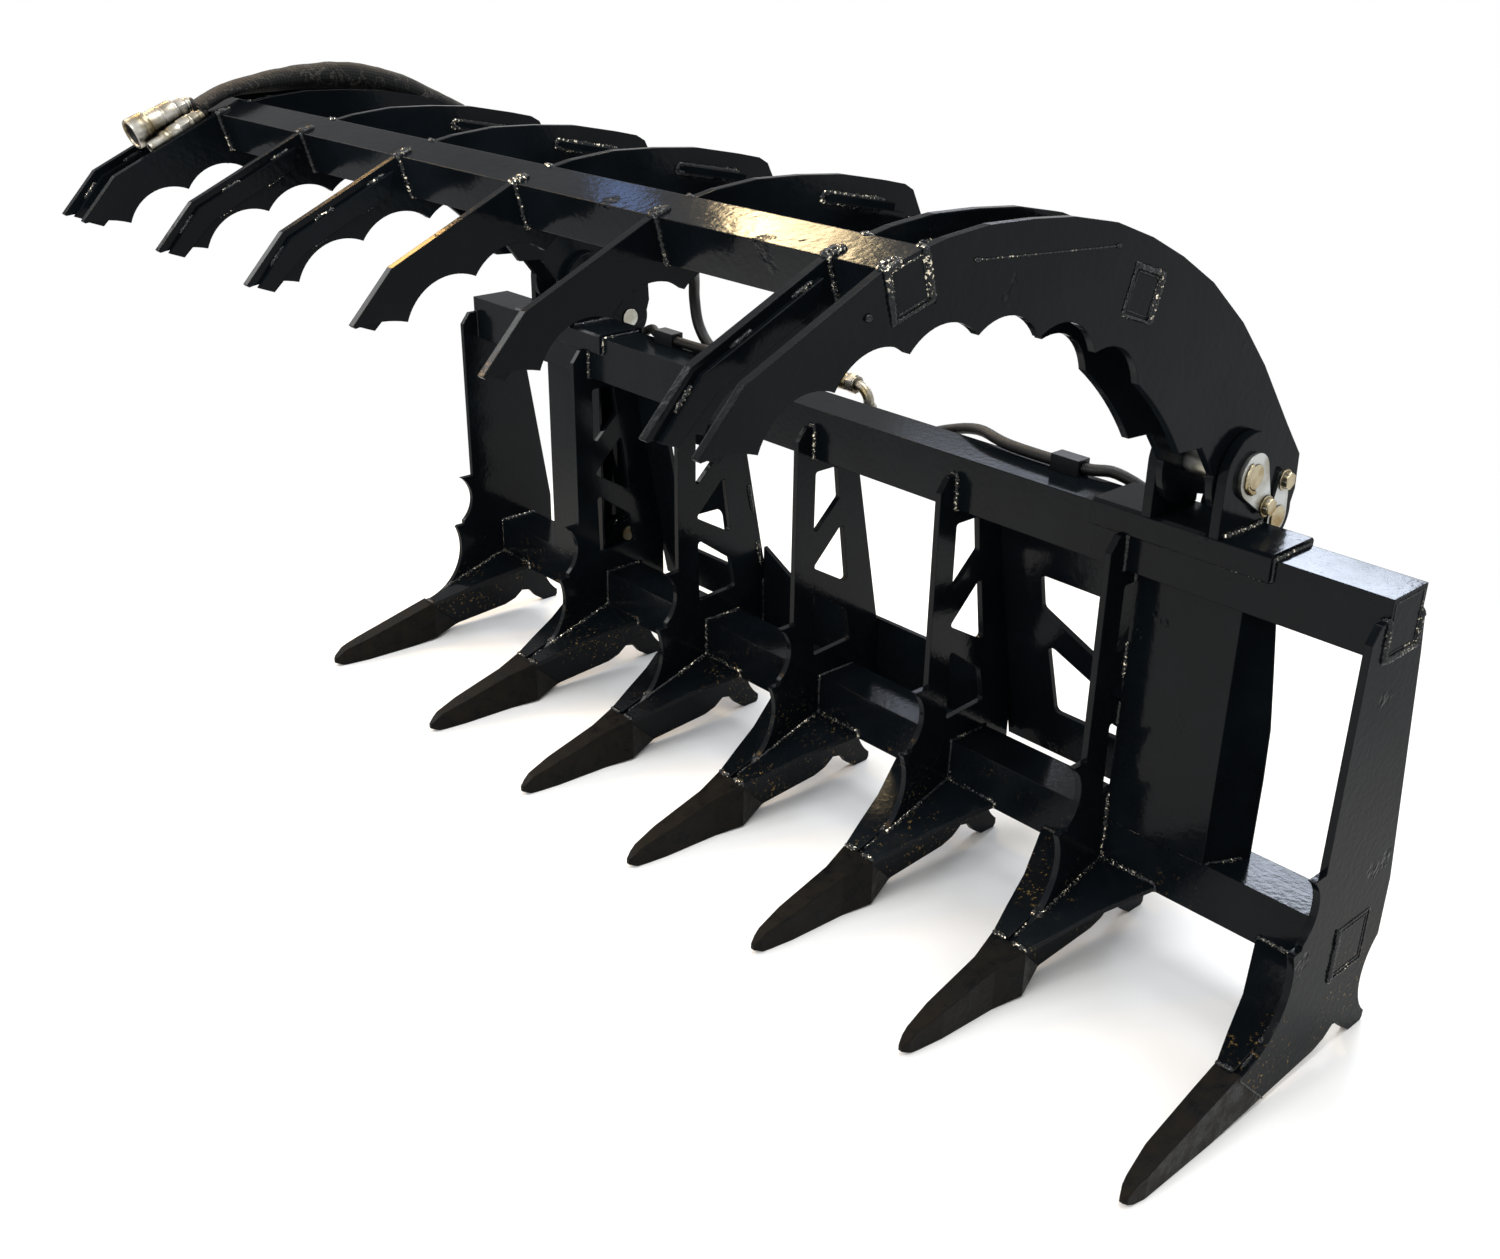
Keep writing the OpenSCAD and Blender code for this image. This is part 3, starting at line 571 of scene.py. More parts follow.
def into_mesh(welds, body):
    pick(welds)
    bpy.ops.object.convert(target="MESH")
    bpy.ops.object.mode_set(mode="EDIT")
    bpy.ops.mesh.select_all(action="SELECT")
    bpy.ops.mesh.normals_make_consistent(inside=False)
    bpy.ops.object.mode_set(mode="OBJECT")
    bpy.ops.object.shade_smooth()
    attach(welds, body)
    return len(welds.data.polygons)


# %% [markdown]
# ## Welds of the frame
# The tines carry both tubes, and each crossing is welded round. The mount plates are held by
# stitches. Beads on the undersides, behind the guards and between two ears or lugs of a pair are
# left out, because they hardly show.

# %% Welds of the frame
frame_welds = bead_curve("frame_welds")
tines = ["tine_plate_%d" % i for i in range(1, 8)]
tips = ["tine_tip_%d" % i for i in range(1, 8)]
tubes = ["top_tube", "bottom_tube"]
outer_tine_face, ground_clear, wing_top, guard_front = 0.913, 0.004, 0.074, -0.06
ear_outside, lug_outside = 0.047, 0.036


def from_arm(p):
    return abs(abs(p.x) - arm_x / 1000)


length = 0.0
for tine, tip in zip(tines, tips):
    length += weld(frame_welds, tine, tubes, 0.0044, thin=(outer_tine_face, 0.0016))
    length += weld(frame_welds, tip, [tine], 0.0022, lambda p: p.z > ground_clear)
length += weld(frame_welds, "tine_wings", tines + tips + ["bottom_tube"], 0.0046,
               lambda p: p.z > wing_top)
length += weld(frame_welds, "cross_band", tines, 0.004)
for side in ("left", "right"):
    length += weld(frame_welds, "mount_plate_" + side, tines, 0.0042, stitch=(0.05, 0.06))
    length += weld(frame_welds, "guard_box_" + side, tines + tubes, 0.0042,
                   lambda p: p.y < guard_front)
    length += weld(frame_welds, "hinge_saddle_" + side, ["top_tube"], 0.004)
    length += weld(frame_welds, "hinge_ears_" + side, ["hinge_saddle_" + side], 0.0052,
                   lambda p: from_arm(p) > ear_outside)
    length += weld(frame_welds, "foot_lugs_" + side, ["bottom_tube"], 0.0045,
                   lambda p: from_arm(p) > lug_outside)
length += weld(frame_welds, "tube_end_caps", tubes, 0.0012)
print("frame welds:", round(length, 1), "m,", into_mesh(frame_welds, "frame"), "faces")

# %% [markdown]
# ## Welds of the jaw
# The fingers cross both tubes, and each crossing is welded all round. The doubling strips have
# stitch welds. On the face of each outer arm plate two more welds show: a long slot, welded shut
# in a thin line with a blob at each end, and a single plug weld nearer the tip.

# %% Welds of the jaw
jaw_welds = bead_curve("jaw_welds")
fingers = ["finger_%d" % i for i in range(1, 9)]
jaw_tubes = ["jaw_tube", "jaw_rear_tube"]
outer_arm_face, arm_weld_x = 0.684, 685.6
slot_ends, plug_yz = ((-617, 1044), (-403, 1030)), (-756, 1012)
plug_long, blob_long = Vector((0, 0.008, 0)), Vector((0, 0.008, -0.0005))

length = 0.0
for finger in fingers:
    length += weld(jaw_welds, finger, jaw_tubes, 0.0042, thin=(outer_arm_face, 0.0024))
length += weld(jaw_welds, "finger_strips", fingers, 0.0036, stitch=(0.028, 0.05))
length += weld(jaw_welds, "finger_gussets", fingers + ["jaw_rear_tube"], 0.0036)
length += weld(jaw_welds, "jaw_stiffeners", fingers, 0.004)
length += weld(jaw_welds, "jaw_end_caps", jaw_tubes, 0.0012)
for side in (-1, 1):
    slot_line = [Vector((side * arm_weld_x, y, z)) / 1000 for y, z in slot_ends]
    plug_at = Vector((side * arm_weld_x, *plug_yz)) / 1000
    length += lay_bead(jaw_welds, [plug_at, plug_at + plug_long], 0.0045)
    length += lay_bead(jaw_welds, slot_line, 0.0011)
    for end in slot_line:
        length += lay_bead(jaw_welds, [end, end + blob_long], 0.003)

# %% [markdown]
# Each pivot pin is welded to its flag by a bead round the front half of its end. It is as bright
# as the pin, so it is a piece of its own, with the plating's slot and finish and not the paint's.

# %% Arcs of weld at the pivot pins
arc_radius, arc_size, arc_proud = 19, 0.0034, 6.5
arc_angles = [math.radians(115 + 8 * k) for k in range(22)]
pin_arcs = bead_curve("pin_arcs")
for side in (-1, 1):
    x = side * (flag_face["frame"] + arc_proud)
    lay_bead(pin_arcs, [Vector((x, pivot_y + arc_radius * math.cos(a),
                                pivot_z + arc_radius * math.sin(a))) / 1000
                        for a in arc_angles], arc_size)
print("pin arcs:", into_mesh(pin_arcs, "frame"), "faces")
print("jaw welds:", round(length, 1), "m,", into_mesh(jaw_welds, "jaw"), "faces")

# %% [markdown]
# ## Colour and node helpers
# Colours are written as they look on screen, in hex, and one function turns them into the linear
# values that shaders want. A second small function adds a node, fills in its settings and wires
# its inputs, so that each material below reads as a list of what it is made of. Patterns read
# Object coordinates in metres, and a noise of scale s has lumps about 1 / s metres across.

# %% Helpers for materials
def linear(hex_code):
    values = [int(hex_code[i:i + 2], 16) / 255 for i in (1, 3, 5)]
    return [v / 12.92 if v <= 0.04045 else ((v + 0.055) / 1.055) ** 2.4 for v in values] + [1.0]


def add(tree, kind, settings=(), links=()):
    made = tree.nodes.new("ShaderNode" + kind)
    for key, value in dict(settings).items():
        if isinstance(key, int) or key in made.inputs:
            made.inputs[key].default_value = value
        else:
            setattr(made, key, value)
    for key, socket_from in dict(links).items():
        tree.links.new(socket_from, made.inputs[key])
    return made


def new_finish(name):
    finish = bpy.data.materials.new(name)
    finish.use_nodes = True
    finish.node_tree.nodes.clear()
    return finish, finish.node_tree


print("black in linear light", [round(v, 4) for v in linear("#080b0e")])

# %% [markdown]
# ## Gloss black enamel
# The steel is sprayed with a gloss black enamel over mill plate. To the eye it is nearly black,
# with a thin clear reflection that ripples like orange peel, a little dust that dulls it in
# patches, and edges that the paint rounds off, so each plate has a thin bright outline. Three
# things lie on or under that skin, and each has its own function. The first is brown grit from the
# ground: it begins 200 mm up, is thickest below 50 mm, and lies in grains of 8 mm and less, swept
# into heaps of about 110 mm.

# %% Black paint with grit near the ground
grit_scale, heap_scale = 130.0, 9.0
grit_top, grit_full = 0.20, 0.05


def gritty_black(tree, place, patches):
    clean = add(tree, "Mix", {"data_type": "RGBA", 6: linear("#080b0e"), 7: linear("#0f1418")},
                {0: patches.outputs["Result"]})
    height = add(tree, "SeparateXYZ", links={0: place.outputs["Object"]})
    low = add(tree, "MapRange", {"From Min": grit_top, "From Max": grit_full},
              {"Value": height.outputs["Z"]})
    grit = add(tree, "TexNoise", {"Scale": grit_scale, "Detail": 4.0, "Roughness": 0.8},
               {"Vector": place.outputs["Object"]})
    specks = add(tree, "MapRange", {"From Min": 0.60, "From Max": 0.66}, {"Value": grit.outputs["Fac"]})
    swept = add(tree, "TexNoise", {"Scale": heap_scale, "Detail": 2.0},
                {"Vector": place.outputs["Object"]})
    heaps = add(tree, "MapRange", {"From Min": 0.48, "From Max": 0.62}, {"Value": swept.outputs["Fac"]})
    dirty = add(tree, "Math", {"operation": "MULTIPLY"},
                {0: low.outputs["Result"], 1: specks.outputs["Result"]})
    dirty = add(tree, "Math", {"operation": "MULTIPLY"},
                {0: dirty.outputs[0], 1: heaps.outputs["Result"]})
    return add(tree, "Mix", {"data_type": "RGBA", 7: linear("#8f7748")},
               {0: dirty.outputs[0], 6: clean.outputs[2]})


# %% [markdown]
# The second is bare metal. The paint is thin on the crests of a weld, and steel shows through in
# flecks of about 3 mm that come in groups of about 125 mm. Plate has none, so the function takes
# how bright they are, which is 0 there.

# %% Flecks of bare metal
fleck_scale, group_scale = 300.0, 8.0


def bare_flecks(tree, place, bright):
    spots = add(tree, "TexNoise", {"Scale": fleck_scale, "Detail": 1.0},
                {"Vector": place.outputs["Object"]})
    fleck = add(tree, "MapRange", {"From Min": 0.60, "From Max": 0.64, "To Max": bright},
                {"Value": spots.outputs["Fac"]})
    crowd = add(tree, "TexNoise", {"Scale": group_scale, "Detail": 2.0},
                {"Vector": place.outputs["Object"]})
    group = add(tree, "MapRange", {"From Min": 0.47, "From Max": 0.52}, {"Value": crowd.outputs["Fac"]})
    return add(tree, "Math", {"operation": "MULTIPLY"},
               {0: fleck.outputs["Result"], 1: group.outputs["Result"]})


# %% [markdown]
# The third is the skin's own relief. The peel of real enamel is 2 to 4 mm. It is drawn at about
# 9 mm on plate and 5 mm on beads, so that it shows at this distance, and here and there, about
# 77 mm across, the paint has run into lumps. The Bevel node rounds the normals at the edges and
# leaves the mesh alone.

# %% Orange peel and runs in the paint
run_scale, run_height = 13.0, 0.006


def orange_peel(tree, place, ripple, peel, soft_edge):
    grain = add(tree, "TexNoise", {"Scale": ripple, "Detail": 2.0}, {"Vector": place.outputs["Object"]})
    runs_at = add(tree, "TexNoise", {"Scale": run_scale, "Detail": 3.0},
                  {"Vector": place.outputs["Object"]})
    lumpy = add(tree, "MapRange", {"From Min": 0.69, "From Max": 0.72, "To Min": peel,
                                   "To Max": run_height}, {"Value": runs_at.outputs["Fac"]})
    return add(tree, "Bump", {"Strength": 0.35},
               {"Height": grain.outputs["Fac"], "Distance": lumpy.outputs["Result"],
                "Normal": soft_edge.outputs["Normal"]})


# %% [markdown]
# The finish puts them together. Patches of dust about 250 mm across dull the gloss. The workshop
# in the photograph was dark beside its windows, while this studio is white all round and would
# show in every plate seen at a slant, so the reflection is weaker there than square on.

# %% Gloss black enamel
patch_scale, square_on, at_a_slant = 4.0, 1.5, 0.14


def enamel(name, peel, dulling, shine, level, ripple=110.0, bright=0.0):
    finish, tree = new_finish(name)
    place = add(tree, "TexCoord")
    dust = add(tree, "TexNoise", {"Scale": patch_scale, "Detail": 6.0, "Roughness": 0.62},
               {"Vector": place.outputs["Object"]})
    patches = add(tree, "MapRange", {"From Min": 0.45, "From Max": 0.72},
                  {"Value": dust.outputs["Fac"]})
    paint = gritty_black(tree, place, patches)
    bare = bare_flecks(tree, place, bright)
    colour = add(tree, "Mix", {"data_type": "RGBA", 7: linear("#e9e0c8")},
                 {0: bare.outputs[0], 6: paint.outputs[2]})
    gloss = add(tree, "MapRange", {"To Min": shine, "To Max": shine + dulling},
                {"Value": patches.outputs["Result"]})
    soft_edge = add(tree, "Bevel", {"samples": 4, "Radius": 0.002})
    skin = orange_peel(tree, place, ripple, peel, soft_edge)
    slant = add(tree, "LayerWeight", {"Blend": 0.5}, {"Normal": soft_edge.outputs["Normal"]})
    thin = add(tree, "MapRange", {"From Min": 0.35, "From Max": 0.72, "To Min": square_on * level,
                                  "To Max": at_a_slant * level}, {"Value": slant.outputs["Facing"]})
    shader = add(tree, "BsdfPrincipled", {"IOR": 1.5},
                 {"Base Color": colour.outputs[2], "Roughness": gloss.outputs["Result"],
                  "Specular IOR Level": thin.outputs["Result"], "Metallic": bare.outputs[0],
                  "Normal": skin.outputs["Normal"]})
    add(tree, "OutputMaterial", links={"Surface": shader.outputs["BSDF"]})
    return finish


plate_enamel = enamel("gloss_black_enamel", peel=0.0006, dulling=0.10, shine=0.12, level=0.06)
weld_enamel = enamel("enamel_on_weld_bead", peel=0.005, dulling=0.05, shine=0.06, level=0.2,
                     ripple=210.0, bright=1.0)
print("enamels:", plate_enamel.name, weld_enamel.name)

# %% [markdown]
# ## Enamel over forged and worn steel
# The thick ends of the tines are forged bar, and their scale shows through the paint as pits and
# lumps, with brown shop dust in them. They look sooty and rough beside the plates. One noise with
# much fine detail, in lumps of about 26 mm, sets the colour, the gloss and the bump together, so
# that the dust lies where the ground is rough.

# %% Enamel over forged bar
lump_scale = 38.0
forged_enamel, tree = new_finish("enamel_on_forged_bar")
place = add(tree, "TexCoord")
lumps = add(tree, "TexNoise", {"Scale": lump_scale, "Detail": 7.0, "Roughness": 0.7},
            {"Vector": place.outputs["Object"]})
pits = add(tree, "MapRange", {"From Min": 0.42, "From Max": 0.62}, {"Value": lumps.outputs["Fac"]})
colour = add(tree, "Mix", {"data_type": "RGBA", 6: linear("#16130f"), 7: linear("#0a0b0c")},
             {0: pits.outputs["Result"]})
gloss = add(tree, "MapRange", {"To Min": 0.5, "To Max": 0.24}, {"Value": pits.outputs["Result"]})
soft_edge = add(tree, "Bevel", {"samples": 4, "Radius": 0.003})
skin = add(tree, "Bump", {"Strength": 0.5, "Distance": 0.003},
           {"Height": lumps.outputs["Fac"], "Normal": soft_edge.outputs["Normal"]})
shader = add(tree, "BsdfPrincipled", {"Specular IOR Level": 0.05},
             {"Base Color": colour.outputs[2], "Roughness": gloss.outputs["Result"],
              "Normal": skin.outputs["Normal"]})
add(tree, "OutputMaterial", links={"Surface": shader.outputs["BSDF"]})
print("forged ends:", forged_enamel.name)

# %% [markdown]
# ## Zinc plate
# Pins, flags, bolts and couplers are zinc plated with a yellow passivate: bright metal, faintly
# gold in some patches and grey in others, about 38 mm across, with a fine grain. The inner corners
# are darkened by Ambient Occlusion, a painted shade. The two hose clamps belong to the same
# node as the fittings but are black, so the plating stops round their place, 0.42 m to each side.

# %% Tint and painted corner shade of the plating
tint_scale, grain_scale = 26.0, 420.0
clamp_x, clamp_half_wide = 0.42, 0.03


def clamp_mask(tree, place):
    across = add(tree, "SeparateXYZ", links={0: place.outputs["Object"]})
    aside = add(tree, "Math", {"operation": "ABSOLUTE"}, {0: across.outputs["X"]})
    return add(tree, "Math", {"operation": "COMPARE", 1: clamp_x, 2: clamp_half_wide},
               {0: aside.outputs[0]})


def shade_corners(tree, tinted):
    # painted shade: Ambient Occlusion darkens the inner corners towards a dark brown
    corner = add(tree, "AmbientOcclusion", {"samples": 8, "Distance": 0.012})
    painted_shade = add(tree, "MapRange", {"From Min": 0.35, "From Max": 0.95, "To Min": 1.0, "To Max": 0.0},
                {"Value": corner.outputs["AO"]})
    return add(tree, "Mix", {"data_type": "RGBA", 7: linear("#1c1a15")},
               {0: painted_shade.outputs["Result"], 6: tinted.outputs["Color"]})


# %% Zinc plate
def zinc(name, shade, light):
    finish, tree = new_finish(name)
    place = add(tree, "TexCoord")
    tint = add(tree, "TexNoise", {"Scale": tint_scale, "Detail": 4.0},
               {"Vector": place.outputs["Object"]})
    tinted = add(tree, "ValToRGB", links={"Fac": tint.outputs["Fac"]})
    for stop, at, hex_code in zip(tinted.color_ramp.elements, (0.38, 0.58), (shade, light)):
        stop.color, stop.position = linear(hex_code), at
    grain = add(tree, "TexNoise", {"Scale": grain_scale, "Detail": 2.0},
                {"Vector": place.outputs["Object"]})
    gloss = add(tree, "MapRange", {"To Min": 0.26, "To Max": 0.42}, {"Value": tint.outputs["Fac"]})
    soft_edge = add(tree, "Bevel", {"samples": 4, "Radius": 0.0012})
    skin = add(tree, "Bump", {"Strength": 0.2, "Distance": 0.0005},
               {"Height": grain.outputs["Fac"], "Normal": soft_edge.outputs["Normal"]})
    clamp = clamp_mask(tree, place)
    plated = add(tree, "Math", {"operation": "SUBTRACT", 0: 1.0}, {1: clamp.outputs[0]})
    shaded_tint = shade_corners(tree, tinted)
    colour = add(tree, "Mix", {"data_type": "RGBA", 7: linear("#0d1013")},
                 {0: clamp.outputs[0], 6: shaded_tint.outputs[2]})
    shader = add(tree, "BsdfPrincipled", {"Specular IOR Level": 0.2},
                 {"Base Color": colour.outputs[2], "Roughness": gloss.outputs["Result"],
                  "Metallic": plated.outputs[0], "Normal": skin.outputs["Normal"]})
    add(tree, "OutputMaterial", links={"Surface": shader.outputs["BSDF"]})
    return finish


yellow_zinc = zinc("zinc_plate_yellow", "#8a7340", "#b9ae92")
pale_zinc = zinc("zinc_plate_pale", "#9a988c", "#c3c6c4")
coupler_zinc = zinc("zinc_plate_coupler", "#75684a", "#a9a79f")
print("platings:", yellow_zinc.name, pale_zinc.name, coupler_zinc.name)

# %% [markdown]
# ## Hard chrome
# The cylinder rods are ground and hard chromed, which is a clean mirror with no tint. Grinding
# leaves lines too fine to see, about 3 mm here, drawn out along the height by a stretched noise.

# %% Hard chrome
hard_chrome, tree = new_finish("hard_chrome")
place = add(tree, "TexCoord")
stretch = add(tree, "Mapping", {"Scale": (1.0, 1.0, 0.05)}, {"Vector": place.outputs["Object"]})
lines = add(tree, "TexNoise", {"Scale": 300.0, "Detail": 2.0}, {"Vector": stretch.outputs["Vector"]})
gloss = add(tree, "MapRange", {"To Min": 0.06, "To Max": 0.16}, {"Value": lines.outputs["Fac"]})
shader = add(tree, "BsdfPrincipled", {"Metallic": 1.0, "Base Color": linear("#d9dbde")},
             {"Roughness": gloss.outputs["Result"]})
add(tree, "OutputMaterial", links={"Surface": shader.outputs["BSDF"]})
print("rods:", hard_chrome.name)

# %% [markdown]
# ## Hose rubber
# A hydraulic hose is cured in a tape of wet nylon, which leaves a fine diagonal print in the rubber,
# so its shine is broken and soft. The print follows the UV map of the tube, a wave turned by about
# 50 degrees, with dust in patches of 25 mm over it.

# %% Hose rubber
hose_rubber, tree = new_finish("wrapped_hose_rubber")
lay = add(tree, "UVMap", {"uv_map": "lay"})
slanted = add(tree, "Mapping", {"Rotation": (0, 0, 0.9)}, {"Vector": lay.outputs["UV"]})
tape = add(tree, "TexWave", {"Scale": 90.0, "Distortion": 0.6, "Detail": 1.0},
           {"Vector": slanted.outputs["Vector"]})
dust = add(tree, "TexNoise", {"Scale": 40.0, "Detail": 5.0}, {"Vector": lay.outputs["UV"]})
colour = add(tree, "Mix", {"data_type": "RGBA", 6: linear("#070708"), 7: linear("#141312")},
             {0: dust.outputs["Fac"]})
gloss = add(tree, "MapRange", {"To Min": 0.34, "To Max": 0.55}, {"Value": dust.outputs["Fac"]})
skin = add(tree, "Bump", {"Strength": 0.35, "Distance": 0.0006}, {"Height": tape.outputs["Fac"]})
shader = add(tree, "BsdfPrincipled", {"Specular IOR Level": 0.3},
             {"Base Color": colour.outputs[2], "Roughness": gloss.outputs["Result"],
              "Normal": skin.outputs["Normal"]})
add(tree, "OutputMaterial", links={"Surface": shader.outputs["BSDF"]})
print("hoses:", hose_rubber.name)

# %% [markdown]
# ## Woven nylon
# The sleeve over the pair on the jaw is woven nylon: two sets of threads about a millimetre apart,
# drawn here 5 mm apart so that they show, as two waves that follow the UV map. Cloth that rubs on
# steel scuffs pale along its creases: a narrow band of a noise gives those lines.

# %% Woven nylon
thread_scale, crease_scale = 62.0, 22.0
woven_nylon, tree = new_finish("woven_nylon_sleeve")
lay = add(tree, "UVMap", {"uv_map": "lay"})
warp = add(tree, "TexWave", {"Scale": thread_scale, "bands_direction": "X"},
           {"Vector": lay.outputs["UV"]})
weft = add(tree, "TexWave", {"Scale": thread_scale, "bands_direction": "Y"},
           {"Vector": lay.outputs["UV"]})
weave = add(tree, "Math", {"operation": "MULTIPLY"}, {0: warp.outputs["Fac"], 1: weft.outputs["Fac"]})
place = add(tree, "TexCoord")
creases = add(tree, "TexNoise", {"Scale": crease_scale, "Detail": 4.0, "Distortion": 1.6},
              {"Vector": place.outputs["Object"]})
below = add(tree, "MapRange", {"From Min": 0.485, "From Max": 0.5, "To Min": 1.0, "To Max": 0.0},
            {"Value": creases.outputs["Fac"]})
above = add(tree, "MapRange", {"From Min": 0.47, "From Max": 0.485}, {"Value": creases.outputs["Fac"]})
scuff = add(tree, "Math", {"operation": "MULTIPLY"},
            {0: below.outputs["Result"], 1: above.outputs["Result"]})
threads = add(tree, "Mix", {"data_type": "RGBA", 6: linear("#060707"), 7: linear("#101112")},
              {0: weave.outputs[0]})
colour = add(tree, "Mix", {"data_type": "RGBA", 7: linear("#3a3835")},
             {0: scuff.outputs[0], 6: threads.outputs[2]})
skin = add(tree, "Bump", {"Strength": 0.5, "Distance": 0.0008}, {"Height": weave.outputs[0]})
shader = add(tree, "BsdfPrincipled", {"Roughness": 0.66, "Specular IOR Level": 0.12,
                                      "Sheen Weight": 0.06, "Sheen Roughness": 0.4},
             {"Base Color": colour.outputs[2], "Normal": skin.outputs["Normal"]})
add(tree, "OutputMaterial", links={"Surface": shader.outputs["BSDF"]})
print("sleeve:", woven_nylon.name)

# %% [markdown]
# ## Dressing the steelwork
# Every CAD node keeps its mesh and takes the finish of the real piece. The names of the nodes say
# which: pins, flags and fittings are plated, rods are chromed, tine ends are forged, and the rest
# is plate. The nodes that the tubes and couplers stand for are hidden, so they need no finish of
# their own.

# %% Give each piece its finish
finishes = {"pivot_": pale_zinc, "rod_": pale_zinc, "foot_pins": yellow_zinc, "hose_fit": coupler_zinc,
            "cylinder_rod": hard_chrome, "tine_tip": forged_enamel}
small_pieces = [(weld_enamel, [frame_welds, jaw_welds]),
                (yellow_zinc, [pin_arcs, bpy.data.objects["flag_bolts_frame"],
                               bpy.data.objects["flag_bolts_jaw"]]),
                (coupler_zinc, [socket, plug, loop_fittings]),
                (hose_rubber, [hose_loop, sleeve_ties, seal_and_mouth_shade, *runs.values()]),
                (woven_nylon, [sleeve])]


def dress(piece, finish):
    piece.data.materials.clear()
    piece.data.materials.append(finish)


for name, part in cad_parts.items():
    dress(part, next((f for start, f in finishes.items() if name.startswith(start)), plate_enamel))
for finish, pieces in small_pieces:
    for piece in pieces:
        dress(piece, finish)
print("dressed", len(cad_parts), "nodes and", sum(len(p) for _, p in small_pieces), "pieces")

# %% [markdown]
# ## Floor
# The photograph has a white background. The floor is a large pale sheet that keeps the shadow under
# the tines. From 1.1 m to 2 m round its middle it fades into plain white light, so that no horizon
# shows behind the object.

# %% Floor
fade_from, fade_to = 1.1, 2.0
bpy.ops.object.select_all(action="DESELECT")
bpy.ops.mesh.primitive_plane_add(size=30, location=(0, -0.4, -0.0005))
floor = bpy.context.object
floor.name = "pale_floor"
floor_paint, tree = new_finish("pale_floor")
place = add(tree, "TexCoord")
cloudy = add(tree, "TexNoise", {"Scale": 0.7, "Detail": 2.0}, {"Vector": place.outputs["Object"]})
colour = add(tree, "Mix", {"data_type": "RGBA", 6: linear("#f4f4f3"), 7: linear("#fafaf9")},
             {0: cloudy.outputs["Fac"]})
sheet = add(tree, "BsdfPrincipled", {"Roughness": 0.8, "Specular IOR Level": 0.1},
            {"Base Color": colour.outputs[2]})
paper = add(tree, "Emission", {"Color": (1, 1, 1, 1), "Strength": 1.0})
out = add(tree, "VectorMath", {"operation": "LENGTH"}, {0: place.outputs["Object"]})
fade = add(tree, "MapRange", {"From Min": fade_from, "From Max": fade_to,
                              "interpolation_type": "SMOOTHSTEP"}, {"Value": out.outputs["Value"]})
shader = add(tree, "MixShader", links={0: fade.outputs["Result"], 1: sheet.outputs["BSDF"],
                                       2: paper.outputs["Emission"]})
add(tree, "OutputMaterial", links={"Surface": shader.outputs["Shader"]})
floor.data.materials.append(floor_paint)
print("floor fades from", fade_from, "to", fade_to, "m")

# %% [markdown]
# ## World
# The world shows white to the camera, to reflections and through glass, and a softer grey to
# everything else, so that the background is white without more light falling on the object.

# %% World
world = bpy.data.worlds.new("white_studio")
bpy.context.scene.world = world
world.use_nodes = True
tree = world.node_tree
tree.nodes.clear()
ray = add(tree, "LightPath")
seen = add(tree, "Math", {"operation": "MAXIMUM"},
           {0: ray.outputs["Is Camera Ray"], 1: ray.outputs["Is Glossy Ray"]})
seen = add(tree, "Math", {"operation": "MAXIMUM"},
           {0: seen.outputs[0], 1: ray.outputs["Is Transmission Ray"]})
level = add(tree, "MapRange", {"To Min": 0.75, "To Max": 1.0}, {"Value": seen.outputs[0]})
sky = add(tree, "Background", {"Color": (1, 1, 1, 1)}, {"Strength": level.outputs["Result"]})
add(tree, "OutputWorld", links={"Surface": sky.outputs["Background"]})
print("world:", world.name)

# %% [markdown]
# ## Lamps
# Three large soft lamps light the scene evenly. The six after them are small, and they stand
# where a bright face of the photograph mirrors them, as the windows and the warm lamps of a
# workshop do: two for the tops of the tubes at the right, a warm and a blue one for the top of the
# jaw's front tube, and two gold ones for the edges of the fifth and sixth fingers. A lamp's place
# was found by reflecting the line from the camera in the face that should shine.

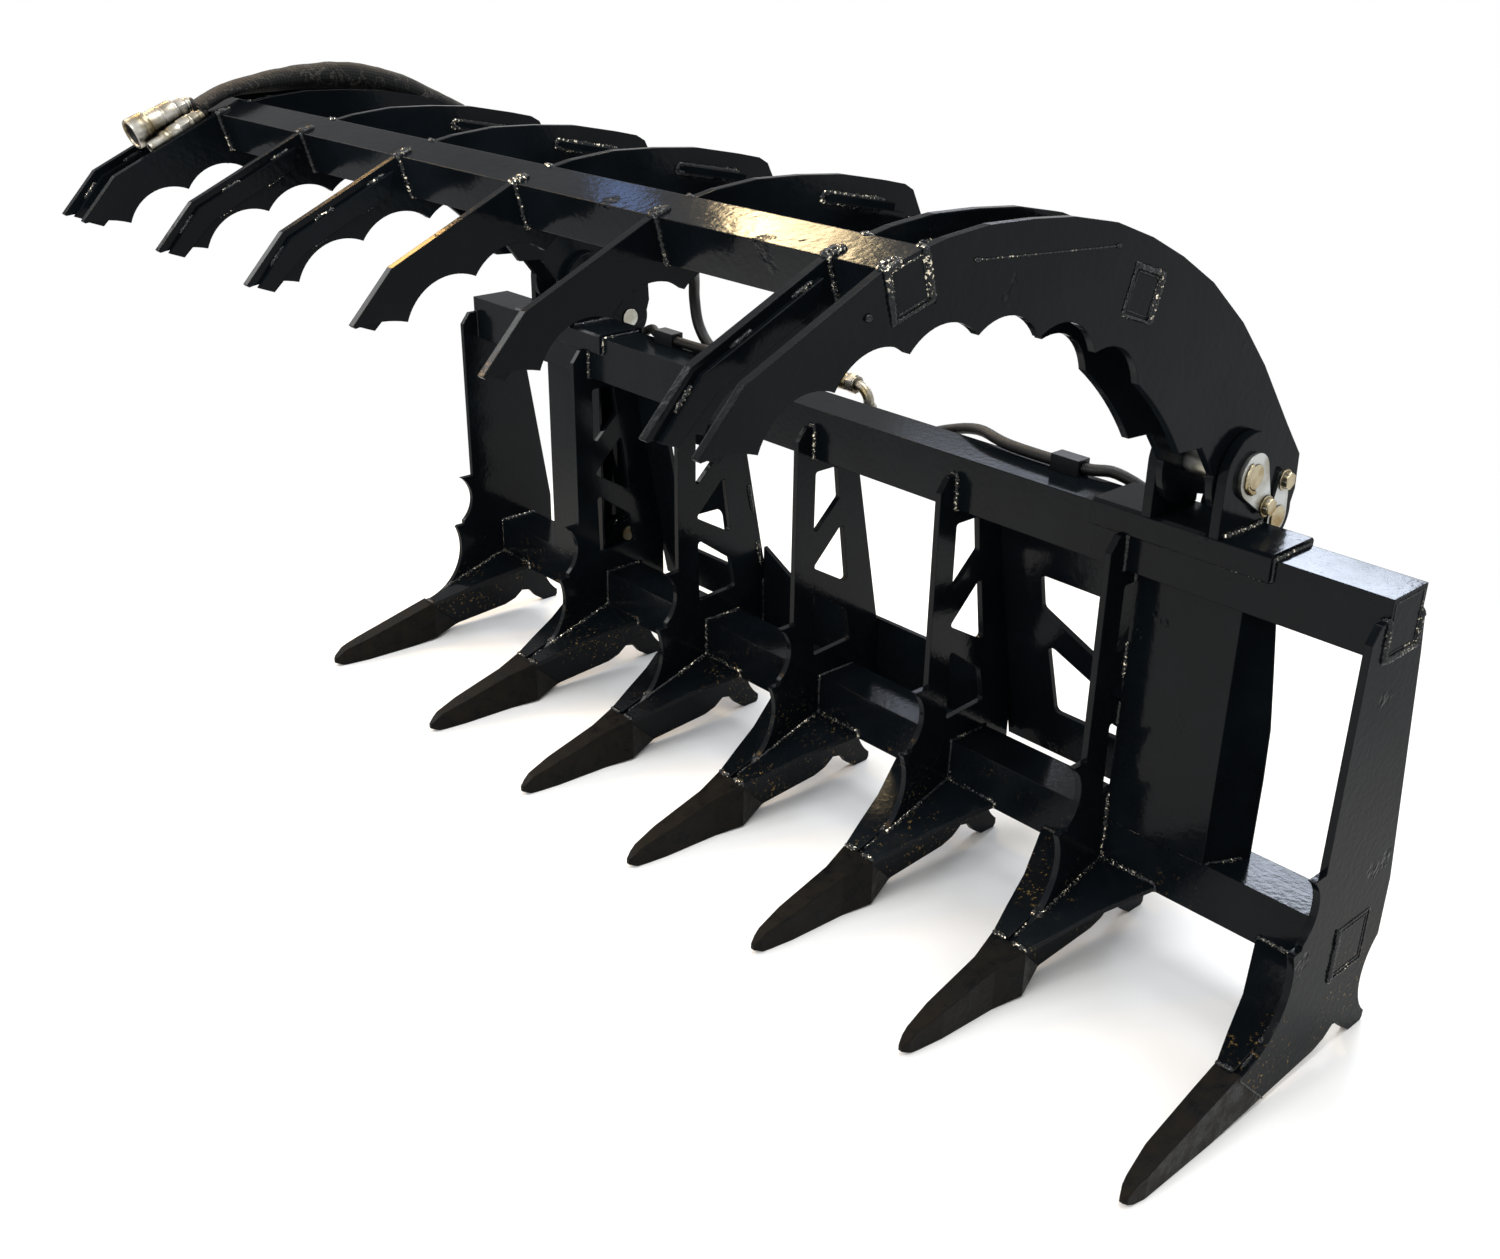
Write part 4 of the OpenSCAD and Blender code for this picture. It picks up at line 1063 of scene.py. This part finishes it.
# %% Lamps
def soft_lamp(name, place, towards, size, watts, colour="#ffffff"):
    lamp = bpy.data.lights.new(name, "AREA")
    lamp.shape, lamp.size, lamp.size_y = "RECTANGLE", size[0], size[1]
    lamp.energy = watts
    lamp.color = linear(colour)[:3]
    stand = bpy.data.objects.new(name, lamp)
    bpy.context.scene.collection.objects.link(stand)
    look = (Vector(towards) - Vector(place)).to_track_quat("-Z", "Y")
    stand.matrix_world = Matrix.Translation(place) @ look.to_matrix().to_4x4()


soft_lamp("front_lamp", (0.6, -4.6, 3.4), (0, -0.4, 0.4), (2.6, 1.8), 120)
soft_lamp("left_lamp", (-4.4, -1.8, 3.6), (0, -0.3, 0.4), (2.0, 2.0), 90)
soft_lamp("ceiling_lamp", (0.4, 0.6, 5.2), (0, -0.3, 0), (3.2, 2.4), 160)
soft_lamp("window_lamp", (-0.45, 2.52, 1.84), (0.8, -0.1, 0.5), (0.5, 0.4), 20, "#e4eeff")
soft_lamp("side_window", (-1.5, 2.15, 1.72), (0.25, -0.1, 0.3), (0.6, 0.2), 2.2, "#dfe9ff")
soft_lamp("warm_lamp", (-1.74, 0.82, 2.70), (0.54, -0.7, 1.05), (0.34, 0.2), 20, "#ffe2ae")
soft_lamp("blue_lamp", (-2.2, 0.63, 2.52), (0.29, -0.7, 1.05), (0.14, 0.1), 0.5, "#8fb4ff")
soft_lamp("gold_lamp", (-2.05, -2.05, 2.30), (0.37, -0.9, 0.95), (0.36, 0.3), 16, "#ffc878")
soft_lamp("gold_lamp_high", (-2.44, -0.40, 2.50), (0.12, -0.8, 1.0), (0.3, 0.25), 12, "#ffc878")

# %% [markdown]
# Weld beads and bolts show points of light. Each is a small lamp mirrored in a rounded crest, so
# four small lamps stand round the front and all look at the middle of the object.

# %% Small lamps that glint on the beads
glint_places = ((2.6, -3.6, 2.6), (3.6, -1.0, 2.2), (0.2, -4.2, 2.2), (-1.6, -3.6, 3.4))
for place in glint_places:
    soft_lamp("glint_lamp", place, (0, -0.4, 0.5), (0.16, 0.16), 5)
print("lamps:", len(bpy.data.lights))

# %% [markdown]
# ## Finish
# The last cell sets how colours are shown.

# %% How colours are shown
bpy.context.scene.view_settings.view_transform = "Standard"
